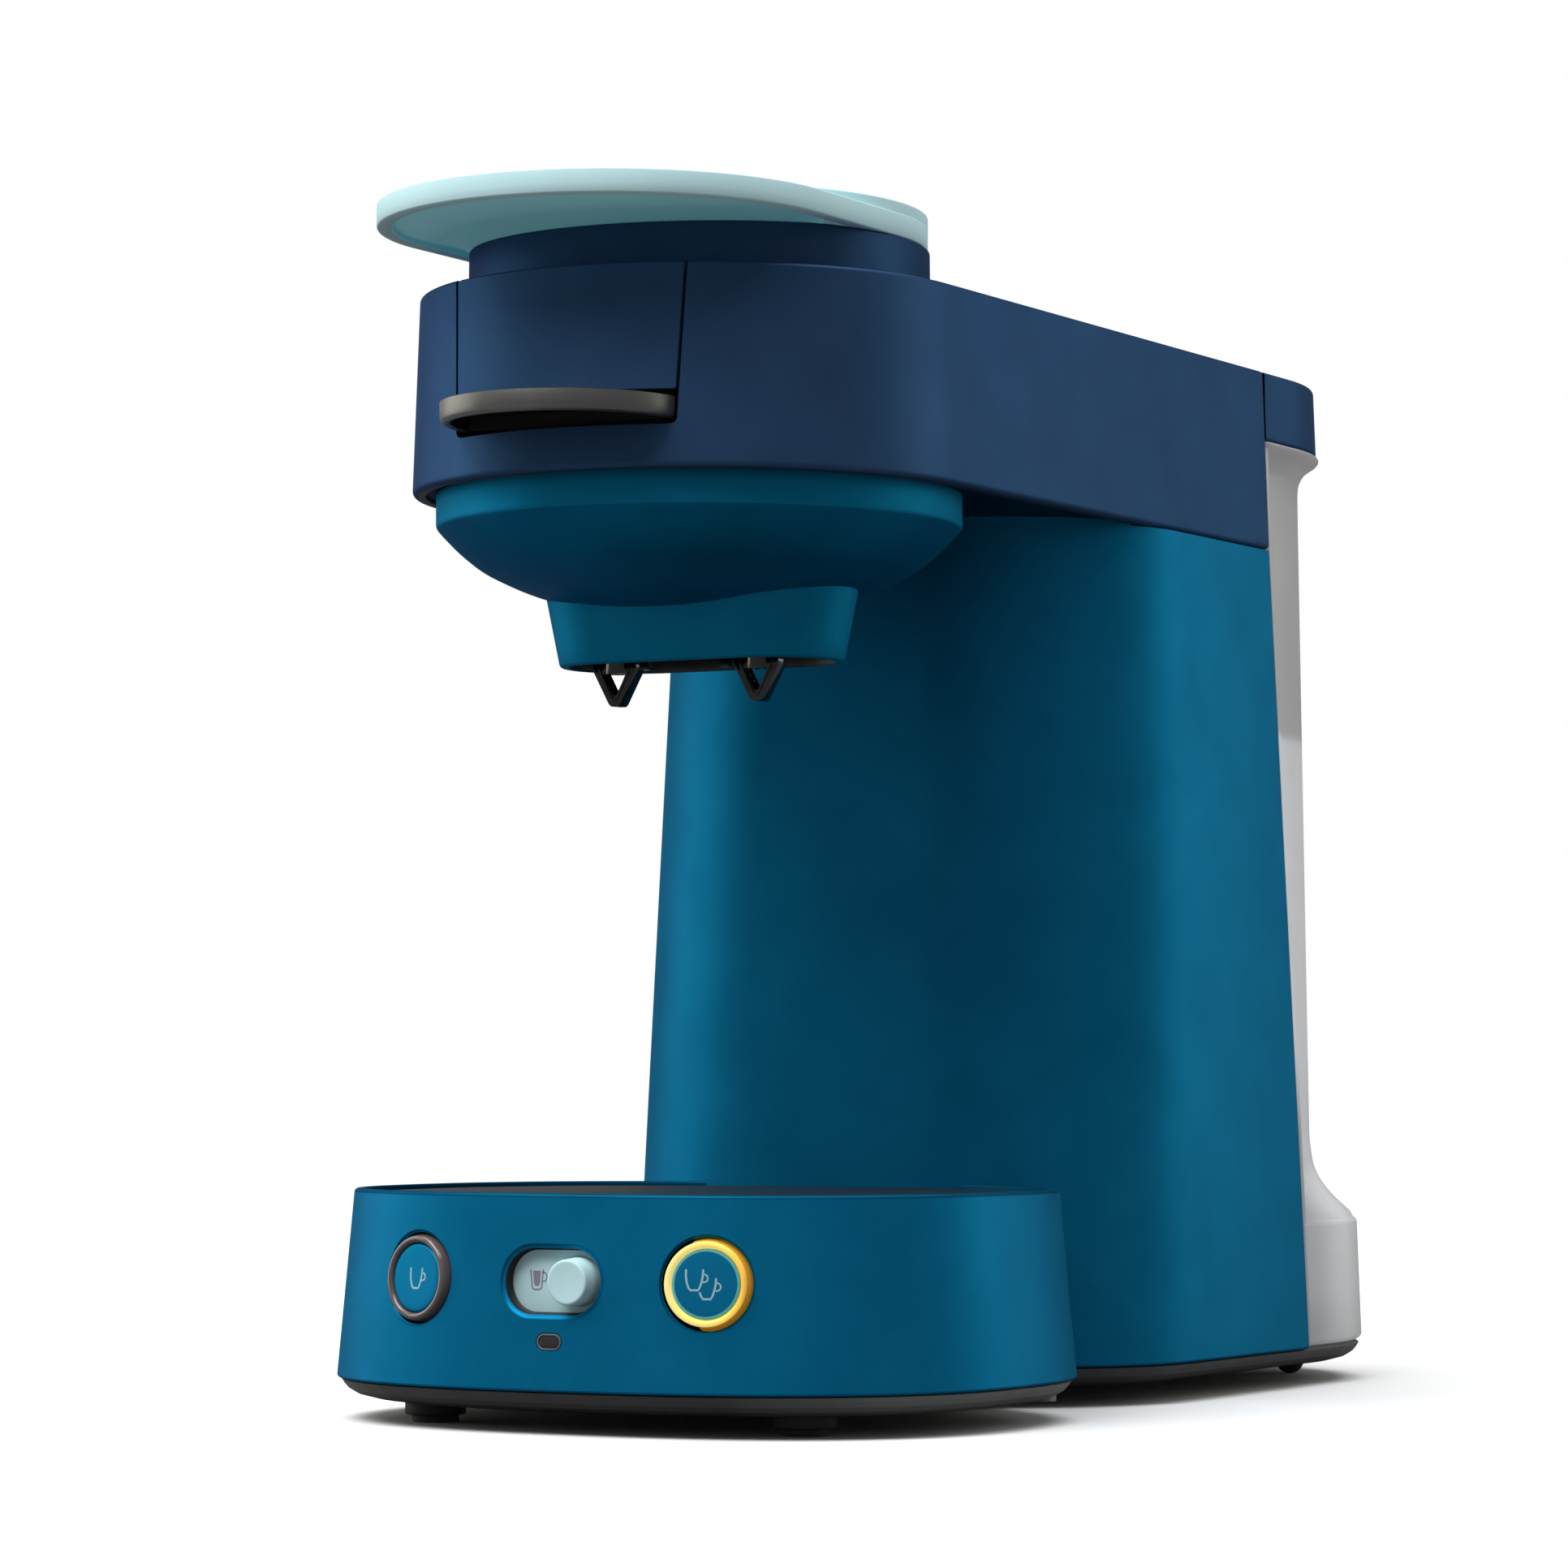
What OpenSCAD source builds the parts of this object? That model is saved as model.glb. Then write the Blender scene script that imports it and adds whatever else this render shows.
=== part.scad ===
// Pod coffee machine, taken apart into its separate pieces.
// Millimetres. +Z is up, the front of the machine faces -Y, +X is to its
// right hand as seen from the front. The origin is the middle of the
// machine's footprint box, on the plane that the feet stand on.
// Inside the modules, Y is measured from the upright axis of the brew head
// and at() moves the finished piece into the machine's frame.

/* [Brew head and arm] */
// Height of the flat top of the head and arm
head_top = 223.35; // [217.5:0.05:229.05]
// Height of the underside of the head and arm
head_bottom = 183.6; // [179.3:0.05:185.9]
// Half width of the arm at its underside
arm_half = 58.2; // [56.45:0.05:59.75]
// How much narrower the round nose of the head is than the arm
nose_step = 0.7; // [0:0.05:0.95]
// Side draft of head, arm and column, in mm per mm of height
draft = 0.0362; // [0.02:0.001:0.045]
// Y of the flat rear face of the arm
arm_rear = 150; // [146.1:0.05:154.35]

/* [Column] */
// Y of the column's front face where it meets the arm
column_front = 60; // [58.1:0.05:63.05]
// Radius of the column's two front corners
column_corner = 41.5; // [33.2:0.05:48.1]
// Height of the bottom edge of the column and base drum
shell_bottom = 8.3; // [7.5:0.05:9.1]

/* [Base drum] */
// Half width of the drum at its bottom edge
drum_a = 72.95; // [70.55:0.05:74.7]
// Half depth of the drum at its bottom edge
drum_b = 60.75; // [58.95:0.05:62.25]
// Height of the drum's rim
drum_top = 45.8; // [44:0.05:48.1]
// Roundness of the drum's plan, where 2 is an ellipse and 4 nearly a box
drum_power = 2.49; // [2.2:0.01:2.8]

/* [Lever, lid and grip] */
// Radius of the lid's collar
collar_r = 46.25; // [45.65:0.05:46.45]
// Height of the lever's lower edge
lever_low = 233.15; // [233:0.05:233.6]
// Thickness of the lever's front tongue
lever_thick = 4.55; // [3.75:0.05:5.35]
// How far the tongue's round end is set forward of the head's axis
tongue_out = 33.8; // [28.25:0.05:36.5]
// Radius of the half round grip under the lid's front panel
grip_r = 24.3; // [22.45:0.05:24.4]

/* [Controls] */
// Distance of each brew button from the middle
button_x = 32.3; // [30.75:0.05:34]
// Height of the brew buttons and the selector
button_z = 29.15; // [28.25:0.05:29.85]
// Travel of the strength selector
selector_travel = 9.65; // [7.5:0.05:9.95]

/* [Water tank] */
// Y of the centre of the tank's round back below its ridge
block_centre = 171.4; // [169.35:0.05:172.6]
// Height of the tank's ridge
ridge_z = 36; // [34.05:0.05:38.15]
// Wall of the tank
tank_wall = 1.85; // [1.5:0.05:2.15]

/* [Hidden] */
$fn = 96;
e = 0.01;
lever_front = -(tongue_out + 46.11);
block_gap = 0.21;
tank_rear = block_centre + half_w(9.96) - block_gap;
mid_y = (lever_front + tank_rear) / 2;
collar_top = lever_low - 0.25;
hinge_y = 53.12;
hinge_z = 229.5;
lever_pin_y = 41.5;
lever_pin_z = 229.25;
lid_front = arm_rear + 0.5;
lid_hinge_y = lid_front + 2.41;
lid_hinge_z = head_top - 2.41;
button_turn = 15.7;
button_lean = 4.4;
button_y = -52.79;

// Half width of the arm and column at a height
function half_w(z) = arm_half + draft * (head_bottom - z);
// Front face of the column at a height
function col_front(z) = column_front - 0.0377 * (head_bottom - z);
// Rear face of the column at a height
function col_rear(z) = arm_rear + 0.08 + 0.0303 * (head_bottom - z);
// Points on an arc
function arc(cx, cy, r, a0, a1, n) =
  [for (i = [0:n]) let (t = a0 + (a1 - a0) * i / n) [cx + r * cos(t), cy + r * sin(t)]];
// Plan of the head and arm at a height, moved inward by d
function arm_plan(z, d = 0, rear = arm_rear, n = 60) =
  concat(arc(0, 0, half_w(z) - nose_step - d, 180, 360, n),
    [[half_w(z) - d, rear - d], [-half_w(z) + d, rear - d]]);
// Plan of the column at a height, moved inward by d
function col_plan(z, d = 0, n = 14) =
  concat(arc(-(half_w(z) - column_corner), col_front(z) + column_corner, column_corner - d, 180, 270, n),
    arc(half_w(z) - column_corner, col_front(z) + column_corner, column_corner - d, 270, 360, n),
    [[half_w(z) - d, col_rear(z) - d], [-half_w(z) + d, col_rear(z) - d]]);
// Plan of the column and tank together, moved inward by d
function foot_plan(z, d = 0, n = 14) =
  concat(arc(-(half_w(z) - column_corner), col_front(z) + column_corner, column_corner - d, 180, 270, n),
    arc(half_w(z) - column_corner, col_front(z) + column_corner, column_corner - d, 270, 360, n),
    arc(0, block_centre, half_w(z) - d, 0, 180, 36));
// Rounded plan of the base drum, moved inward by d
function drum_plan(z, d = 0, n = 96) =
  let (a = drum_a - 3.36 * (z - shell_bottom) / 37.52 - d,
       b = drum_b - 2.86 * (z - shell_bottom) / 37.52 - d, p = 2 / drum_power)
  [for (i = [0:n - 1]) let (t = 360 * (i + 0.5) / n, c = cos(t), s = sin(t))
    [a * sign(c) * pow(abs(c), p), 2.91 + b * sign(s) * pow(abs(s), p)]];
// Rounded plan with given half sizes
function oval(a, b, yc, n = 72, q = 2.49) =
  [for (i = [0:n - 1]) let (t = 360 * (i + 0.5) / n, c = cos(t), s = sin(t))
    [a * sign(c) * pow(abs(c), 2 / q), yc + b * sign(s) * pow(abs(s), 2 / q)]];
// Plan of the tank: flat front at y0, straight sides, half round back
function tank_plan(y0, r, yc, n = 32) =
  concat([[-r, y0], [r, y0]], arc(0, yc, r, 0, 180, n));

// A solid that runs through a list of plans at a list of heights
module loft(plans, hs) {
  n = len(plans[0]);
  m = len(plans);
  polyhedron(
    points = [for (k = [0:m - 1]) for (p = plans[k]) [p[0], p[1], hs[k]]],
    faces = concat([[for (i = [0:n - 1]) i]],
      [for (k = [0:m - 2]) for (i = [0:n - 1]) [k * n + i, (k + 1) * n + i, (k + 1) * n + (i + 1) % n]],
      [for (k = [0:m - 2]) for (i = [0:n - 1]) [k * n + i, (k + 1) * n + (i + 1) % n, k * n + (i + 1) % n]],
      [[for (i = [n - 1:-1:0]) (m - 1) * n + i]]));
}
// Smooth line through a few points, n steps between each pair
function spline(a, b, c, d, t) =
  (2 * b + (c - a) * t + (2 * a - 5 * b + 4 * c - d) * t * t + (3 * b - a - 3 * c + d) * t * t * t) / 2;
function route(p, n, m) = concat([for (i = [0:m - 2]) for (j = [0:n - 1])
  spline(p[max(i - 1, 0)], p[i], p[i + 1], p[min(i + 2, m - 1)], j / n)], [p[m - 1]]);
function unit(v) = v / norm(v);
function frames(t, i, prev) = i >= len(t) ? [] :
  let (v = unit(prev - (prev * t[i]) * t[i])) concat([v], frames(t, i + 1, v));
// A round hose of radius r along a route
module hose(p, r, n = 6, sides = 12) {
  q = route(p, n, len(p));
  m = len(q);
  t = [for (i = [0:m - 1]) unit(q[min(i + 1, m - 1)] - q[max(i - 1, 0)])];
  f = frames(t, 0, [0, 1, 0.3]);
  polyhedron(
    points = [for (i = [0:m - 1]) for (k = [0:sides - 1])
      q[i] + r * (f[i] * cos(360 * k / sides) + cross(t[i], f[i]) * sin(360 * k / sides))],
    faces = concat([[for (k = [sides - 1:-1:0]) k]],
      [for (i = [0:m - 2]) for (k = [0:sides - 1]) [i * sides + k, i * sides + (k + 1) % sides, (i + 1) * sides + (k + 1) % sides, (i + 1) * sides + k]],
      [[for (k = [0:sides - 1]) (m - 1) * sides + k]]));
}
// From the head's axis to the machine's frame
module at() { translate([0, -mid_y, 0]) children(); }
module xcyl(x0, x1, y, z, r) {
  translate([x0, y, z]) rotate([0, 90, 0]) cylinder(r = r, h = x1 - x0, $fn = 48);
}
module box(x0, x1, y0, y1, z0, z1) {
  translate([x0, y0, z0]) cube([x1 - x0, y1 - y0, z1 - z0]);
}
// Flat stadium in plan, made of exact pieces
module stadium(half, r, h) {
  for (s = [-1, 1]) translate([s * (half - r), 0, 0]) cylinder(r = r, h = h);
  translate([-(half - r), -r, 0]) cube([2 * (half - r), 2 * r, h]);
}
// Tongue-shaped plan of the lever, moved inward by d
module tongue(d, z, h) {
  translate([0, -tongue_out, z]) cylinder(r = 46.11 - d, h = h, $fn = 128);
  translate([0, 0, z]) cylinder(r = 46.11 - d, h = h, $fn = 128);
  box(-(46.11 - d), 46.11 - d, -tongue_out, 0, z, z + h);
}
// The frame of a brew button: local -Y points out of the drum
module at_button(side) {
  translate([side * button_x, button_y, button_z]) rotate([0, 0, side * button_turn])
    rotate([-button_lean, 0, 0]) children();
}
// A disc or tube that lies along a button's axis, y0 outermost
module ycyl(y0, y1, r0, r1 = -1) {
  translate([0, y0, 0]) rotate([-90, 0, 0]) cylinder(r1 = r0, r2 = r1 < 0 ? r0 : r1, h = y1 - y0, $fn = 64);
}

// ---------------------------------------------------------------- base
module skirt(d, z0, z1) {
  hs = [3.98, 4.4, 5.15, 6.14, 7.14, 7.97];
  ins = [11.62, 6.64, 3.82, 2.24, 1.41, 0.91];
  loft([for (i = ins) drum_plan(shell_bottom, i, 59.76)], hs);
  loft([for (i = ins) foot_plan(shell_bottom, i)], hs);
}
module base_plate() color("#323232") at() difference() {
  union() {
    difference() {
      skirt();
      // shallow tray inside, left solid below the tank
      loft([drum_plan(shell_bottom, 6.14, 59.76), drum_plan(shell_bottom, 4.15, 59.76)], [5.81, 8.05]);
      difference() {
        loft([foot_plan(shell_bottom, 6.14), foot_plan(shell_bottom, 4.15)], [5.81, 8.05]);
        box(-74.7, 74.7, 154.38, 240.7, 0, 16.6);
      }
    }
    for (s = [-1, 1]) {
      translate([s * 41.75, -31.54, 4.15]) cylinder(r = 7.89, h = 3.82);
      translate([s * 48.14, 83, 4.15]) cylinder(r = 4.15, h = 7.3);
      translate([s * 62.67, 24.9, 4.15]) cylinder(r = 3.82, h = 7.3);
    }
    // ribs across the tray
    for (y = [-16.6, 91.3, 124.5]) box(-49.8, 49.8, y - 0.83, y + 0.83, 5.73, 7.97);
    // raised ring that locates the tank's valve seat
    translate([0, 177.62, 7.89]) cylinder(r = 12.45, h = 0.33);
  }
  for (s = [-1, 1]) {
    translate([s * 41.75, -31.54, 0]) cylinder(r = 2.08, h = 6.23);
    translate([s * 48.14, 83, 0]) cylinder(r = 1.41, h = 16.6);
    translate([s * 62.67, 24.9, 0]) cylinder(r = 1.41, h = 16.6);
    translate([s * 48.14, 83, 0]) cylinder(r = 2.66, h = 5.81);
    translate([s * 62.67, 24.9, 0]) cylinder(r = 2.66, h = 5.81);
    // seats of the rear feet
    translate([s * 39.18, 201.69, 0]) cylinder(r = 2.49, h = 5.4);
  }
  // way in for the water inlet
  translate([0, 177.62, 0]) cylinder(r = 6.64, h = 16.6);
  box(-4.98, 4.98, 136.12, 177.62, 3.32, 16.6);
}
// Front foot: a two-step rubber disc on a peg
module front_foot(s) color("#111111") at() translate([s * 41.75, -31.54, 0]) {
  cylinder(r = 4.61, h = 1.49);
  translate([0, 0, 1.49]) cylinder(r = 6.02, h = 2.49);
  translate([0, 0, 3.9]) cylinder(r = 2.08, h = 2.24);
}
module foot_front_left() front_foot(-1);
module foot_front_right() front_foot(1);
// Rear foot: a small dome on a peg
module rear_foot(s) color("#111111") at() translate([s * 39.18, 201.69, 0]) {
  rotate_extrude($fn = 64) intersection() {
    translate([0, 3.24]) circle(r = 3.24, $fn = 64);
    square([8.3, 3.24]);
  }
  translate([0, 0, 3.15]) cylinder(r = 3.24, h = 0.83);
  translate([0, 0, 3.9]) cylinder(r = 2.49, h = 1.41);
}
module foot_rear_left() rear_foot(-1);
module foot_rear_right() rear_foot(1);
// Screw that holds the shell to the base plate
module base_screw(x, y) color("#8c8f92") at() translate([x, y, 0]) difference() {
  union() {
    translate([0, 0, 4.15]) cylinder(r = 2.41, h = 1.66);
    translate([0, 0, 5.73]) cylinder(r = 1.33, h = 10.46);
  }
  translate([-0.33, -1.66, 4.07]) cube([0.66, 3.32, 0.75]);
  translate([-1.66, -0.33, 4.07]) cube([3.32, 0.66, 0.75]);
}
module base_screw_front_left() base_screw(-62.67, 24.9);
module base_screw_front_right() base_screw(62.67, 24.9);
module base_screw_rear_left() base_screw(-48.14, 83);
module base_screw_rear_right() base_screw(48.14, 83);

// ---------------------------------------------------------------- drum
module drum_solid(d, z0, z1) {
  if (d == 0) loft([drum_plan(z0, 0.58), drum_plan(z0 + 0.75, 0), drum_plan(z1 - 0.75, 0), drum_plan(z1, 0.66)],
    [z0, z0 + 0.75, z1 - 0.75, z1]);
  else loft([drum_plan(z0, d), drum_plan(z1, d)], [z0, z1]);
}
module column_block(d) loft([col_plan(0, d), col_plan(199.2, d)], [0, 199.2]);
module drum_shell() color("#17607f") at() difference() {
  union() {
    difference() {
      drum_solid(0, shell_bottom, drum_top);
      drum_solid(2.08, shell_bottom - 0.83, drum_top + 0.83);
    }
    // guide behind each button
    for (s = [-1, 1]) at_button(s) difference() {
      ycyl(1.33, 7.47, 9.88);
      ycyl(0.83, 8.3, 8.92);
    }
    // screw posts
    for (s = [-1, 1]) translate([s * 62.67, 24.9, 11.7]) cylinder(r = 3.32, h = 27.6);
  }
  column_block(-0.04);
  for (s = [-1, 1]) {
    // button opening with a shallow step around it
    at_button(s) { ycyl(-4.98, 8.3, 8.92); ycyl(-4.98, -0.37, 9.38); }
    translate([s * 62.67, 24.9, 11.62]) cylinder(r = 1.33, h = 4.98);
  }
  // selector window with a shallow step around it
  translate([0.25, -49.8, button_z]) rotate([90, 0, 0]) stadium(10.54, 6.14, 16.6);
  translate([0.25, -55.73, button_z]) rotate([90, 0, 0]) stadium(11.37, 7.06, 8.3);
  // flat pocket in which the selector's plate slides
  box(-22.58, 22.58, -53.62, -48.14, button_z - 7.8, button_z + 7.8);
  // indicator opening
  translate([0.33, -49.8, 17.76]) rotate([90, 0, 0]) stadium(2.74, 1.62, 16.6);
}
// Deck that carries the tray, over the controls
module tray_deck() color("#202122") at() difference() {
  translate([0, 0, 39.34]) linear_extrude(1.66) difference() {
    polygon(drum_plan(41, 2.16));
    polygon(oval(60.18, 43.58, 6.64));
  }
  column_block(-0.08);
}
module indicator_lens() color("#2b2b2d") at() translate([0.33, -51.46, 17.76]) rotate([90, 0, 0])
  stadium(2.7, 1.58, 5.81);
module control_board() color("#1f5b35") at() difference() {
  union() {
    box(-43.16, 43.16, -41.5, -40.17, 10.79, 38.18);
    // switches and the lamp behind the lens
    for (s = [-1, 1]) translate([s * 29.05, 0, 0]) box(-3.32, 3.32, -44.7, -41.42, 25.73, 32.37);
    box(-4.98, 14.94, -46.07, -41.42, 24.9, 33.2);
    box(-1.66, 1.66, -47.31, -41.42, 16.19, 19.34);
    box(-16.6, 16.6, -40.26, -38.35, 11.62, 21.58);
  }
  for (s = [-1, 1]) translate([s * 39.84, -33.2, 35.28]) rotate([90, 0, 0]) cylinder(r = 1.33, h = 16.6);
}

// -------------------------------------------------------------- column
module column_shell() color("#17607f") at() difference() {
  union() {
    difference() {
      loft([col_plan(shell_bottom, 0.42), col_plan(shell_bottom + 0.58), col_plan(head_bottom - 0.17)],
        [shell_bottom, shell_bottom + 0.58, head_bottom - 0.17]);
      loft([col_plan(shell_bottom - 0.83, 2.16), col_plan(head_bottom + 0.83, 2.16)], [shell_bottom - 0.83, head_bottom + 0.83]);
    }
    for (s = [-1, 1]) {
      translate([s * 48.14, 83, 11.7]) cylinder(r = 3.32, h = 16.6);
      // webs that stand the screw posts off the side walls
      box(min(s * 48.14, s * 61.42), max(s * 48.14, s * 61.42), 82.17, 83.83, 13.28, 28.22);
    }
  }
  for (s = [-1, 1]) translate([s * 48.14, 83, 11.62]) cylinder(r = 1.33, h = 4.98);
  // hole for the cord's gland
  xcyl(-74.7, -49.8, 132.8, 24.9, 5.81);
  // slot through which the water duct passes
  box(-5.15, 5.15, 146.08, 161.85, 4.15, 9.96);
}

// ------------------------------------------------------- head and arm
module head_solid() loft([arm_plan(head_bottom, 1.99), arm_plan(head_bottom + 0.58, 0.83), arm_plan(head_bottom + 1.83, 0.08),
  arm_plan(head_top - 0.83, 0), arm_plan(head_top - 0.25, 0.21), arm_plan(head_top, 0.75)],
  [head_bottom, head_bottom + 0.58, head_bottom + 1.83, head_top - 0.83, head_top - 0.25, head_top]);
// Tapered opening in the front of the head, drawn in X and Z
module front_opening(g, z0, z1) {
  w0 = 24.82 - g;
  w1 = 26.1 - g;
  translate([0, -33.2, 0]) rotate([90, 0, 0]) linear_extrude(49.8)
    polygon([[-w0 + 1, z0], [w0 - 1, z0], [w0, z0 + 1], [w0 + 0.04 * (z1 - z0), z1],
      [-w0 - 0.04 * (z1 - z0), z1], [-w0, z0 + 1]]);
}
module head_shell() color("#24405f") at() difference() {
  head_solid();
  // hollow inside, open below
  loft([arm_plan(head_bottom - 0.83, 2.24), arm_plan(head_top - 2.16, 2.24)], [head_bottom - 0.83, head_top - 2.16]);
  // round mouth for the lid
  translate([0, 0, head_top - 8.3]) cylinder(r = 46.9, h = 16.6, $fn = 128);
  front_opening(0, 191.98, head_top + 0.83);
  // holes for the hinge bracket's screws
  for (s = [-1, 1]) translate([s * 14.11, hinge_y + 9.13, head_top - 4.15]) cylinder(r = 1.25, h = 8.3);
}
module head_underside() color("#0d3f54") at() difference() {
  loft([arm_plan(head_bottom + 0.75, 2.49), arm_plan(head_bottom + 2.41, 2.49)], [head_bottom + 0.75, head_bottom + 2.41]);
  translate([0, 0, head_bottom - 4.15]) cylinder(r = 47.31, h = 16.6, $fn = 96);
  box(-39.84, 39.84, 76.36, 136.95, head_bottom - 4.15, head_bottom + 8.3);
}
module hinge_bracket() color("#24405f") at() difference() {
  union() {
    box(-22.41, 22.41, 48.31, 64.74, head_top, head_top + 1.66);
    for (x = [[-22.41, -16.93], [-11.29, 11.29], [16.93, 22.41]]) {
      xcyl(x[0], x[1], hinge_y, hinge_z, 3.98);
      box(x[0], x[1], hinge_y - 3.98, hinge_y + 3.98, head_top + 0.83, hinge_z);
    }
  }
  xcyl(-24.9, 24.9, hinge_y, hinge_z, 1.66);
  for (s = [-1, 1]) translate([s * 14.11, hinge_y + 9.13, head_top - 4.15]) cylinder(r = 1.25, h = 8.3);
}
module lid_pin() color("#9a9da0") at() xcyl(-22.41, 22.41, hinge_y, hinge_z, 1.66);

// ------------------------------------------------ collector and spout
module collector_body() {
  // outer form: upright band, bowl, turned about the head's axis
  rotate_extrude($fn = 128) polygon([[0, 160.11], [7.47, 160.27], [14.94, 160.94], [22.41, 161.93], [29.88, 163.43],
    [34.86, 165], [39.84, 167.16], [43.99, 169.4], [48.14, 172.72], [51.13, 175.71], [52.46, 177.21], [52.79, 177.95],
    [52.79, 184.34], [0, 184.34]]);
}
module spout_block(d, z0, z1) {
  // tapered stadium, wider at the top
  hull() for (s = [-1, 1]) {
    translate([s * 15.69, 0.75, z0]) cylinder(r = 14.94 - d, h = e, $fn = 48);
    translate([s * 17.1, 0.75, z1]) cylinder(r = 16.85 - d, h = e, $fn = 48);
  }
}
module coffee_collector() color("#135571") at() difference() {
  union() {
    collector_body();
    spout_block(0, 150.23, 166);
  }
  // bowl inside, which drains to the spout
  rotate_extrude($fn = 128) polygon([[0, 163.01], [14.94, 163.84], [29.88, 166.33], [39.84, 170.07], [45.65, 173.47],
    [49.8, 177.62], [50.55, 179.28], [50.55, 185.09], [0, 185.09]]);
  spout_block(1.99, 150.15, 160.44);
  for (s = [-1, 1]) translate([s * 16.35, -4.15, 149.4]) cylinder(r = 3.32, h = 16.6);
}
module spout_insert() color("#111111") at() difference() {
  union() {
    translate([0, 0.75, 154.38]) stadium(28.47, 12.78, 1.66);
    for (s = [-1, 1]) translate([s * 16.35, -4.15, 151.06]) cylinder(r = 4.65, h = 9.13);
  }
  for (s = [-1, 1]) translate([s * 16.35, -4.15, 149.4]) cylinder(r = 2.82, h = 16.6);
}
// V-shaped outlet frame that hangs from its tube
module nozzle(s) color("#0e0e0e") at() translate([s * 16.35, -4.15, 0]) {
  difference() {
    union() {
      translate([0, 1.66, 0]) rotate([90, 0, 0]) linear_extrude(3.32)
        polygon([[-5.15, 151], [-4.9, 149.23], [-1.33, 142.68], [-0.75, 142.18], [0.75, 142.18], [1.33, 142.68],
          [4.9, 149.23], [5.15, 151]]);
      translate([0, 0, 147.66]) cylinder(r = 2.74, h = 11.62);
    }
    // triangular window
    translate([0, 8.3, 0]) rotate([90, 0, 0]) linear_extrude(16.6)
      polygon([[-2.74, 148.74], [-0.42, 144.42], [0.42, 144.42], [2.74, 148.74]]);
    translate([0, 0, 146.08]) cylinder(r = 1.58, h = 16.6);
  }
}
module nozzle_left() nozzle(-1);
module nozzle_right() nozzle(1);
module brew_chamber() color("#3a3d40") at() difference() {
  union() {
    rotate_extrude($fn = 96) polygon([[4.98, 170.98], [7.06, 170.98], [7.06, 186.75], [44.49, 186.75], [44.49, 218.62], [48.14, 218.62],
      [48.14, 221.03], [42.33, 221.03], [42.33, 201.19], [39.84, 201.19], [39.84, 190.49], [6.64, 188.83], [4.98, 188.41]]);
    // nipple for the hot water hose
    translate([0, 43.99, 209.16]) rotate([-90, 0, 0]) cylinder(r = 2.66, h = 12.45);
  }
  translate([0, 37.35, 209.16]) rotate([-90, 0, 0]) cylinder(r = 1.41, h = 24.9);
}
// Dark lining behind the grip, which closes the head's front opening
module front_lining() color("#101214") at() difference() {
  union() {
    intersection() {
      difference() {
        translate([0, 0, 190.65]) cylinder(r = 53.6, h = 26.56, $fn = 96);
        translate([0, 0, 190.07]) cylinder(r = 48.47, h = 33.2, $fn = 96);
      }
      box(-28.22, 28.22, -58.1, -33.2, 190.07, 217.46);
    }
  }
  // room for the grip's root and the panel
  intersection() {
    difference() {
      translate([0, 0, 191.9]) cylinder(r = 66.4, h = 33.2, $fn = 96);
      translate([0, 0, 191.73]) cylinder(r = 49.8, h = 49.8, $fn = 96);
    }
    box(-26.98, 26.98, -66.4, -24.9, 190.9, 232.4);
  }
}
module pad_holder() color("#1c1c1e") at() difference() {
  rotate_extrude($fn = 96) polygon([[0, 193.39], [30.29, 193.39], [32.78, 195.88], [34.03, 201.28], [41.83, 201.28], [41.83, 203.35],
    [32.12, 203.35], [31.13, 196.88], [29.47, 195.05], [0, 195.05]]);
  // sieve
  for (r = [6.64, 13.28, 19.92]) for (i = [0:5]) rotate([0, 0, i * 60 + r * 3]) translate([r, 0, 190.9])
    cylinder(r = 0.91, h = 8.3, $fn = 16);
}

// ------------------------------------------------------------------ lid
module lid_collar() color("#1f3654") at() difference() {
  union() {
    rotate_extrude($fn = 128) polygon([[0, 230.24], [44.16, 230.24], [44.32, head_top + 0.33], [collar_r + 0.17, head_top + 0.33],
      [collar_r + 0.04, 227.42], [collar_r, collar_top - 0.25], [collar_r - 0.25, collar_top], [0, collar_top]]);
    // plug that enters the chamber
    rotate_extrude($fn = 96) polygon([[37.02, 212.48], [39.01, 212.48], [39.01, 230.33], [37.02, 230.33]]);
    translate([0, 0, 212.48]) cylinder(r = 38.84, h = 1.83);
    // hinge arms
    for (s = [-1, 1]) {
      x0 = s > 0 ? 11.62 : -16.6;
      xcyl(x0, x0 + 4.98, hinge_y, hinge_z, 3.82);
      box(x0, x0 + 4.98, 39.84, hinge_y, 227.42, 231.74);
    }
    // bearings of the lever's pin
    for (x = [-24.07, -15.94, 12.62, 20.75]) box(x, x + 3.32, 37.02, 44.16 - abs(x + 1.66) * abs(x + 1.66) / 91.3, 226.18, 230.41);
  }
  // the collar's top falls a little towards the front
  translate([0, 0, collar_top]) rotate([2.1, 0, 0]) translate([-58.1, -66.4, 0]) box(0, 116.2, 0, 53.12, 0.37, 9.96);
  // relief behind the lever's pin
  translate([-58.1, 38.18, collar_top + 0.17]) rotate([-21, 0, 0]) cube([116.2, 24.9, 9.96]);
  // slots for the lever's lugs
  for (s = [-1, 1]) box(s * 18.34 - 2.16, s * 18.34 + 2.16, 36.52, 58.1, 224.93, 240.7);
  xcyl(-24.07, 24.07, lever_pin_y, lever_pin_z, 1.25);
  xcyl(-17.43, 17.43, hinge_y, hinge_z, 1.71);
}
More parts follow.
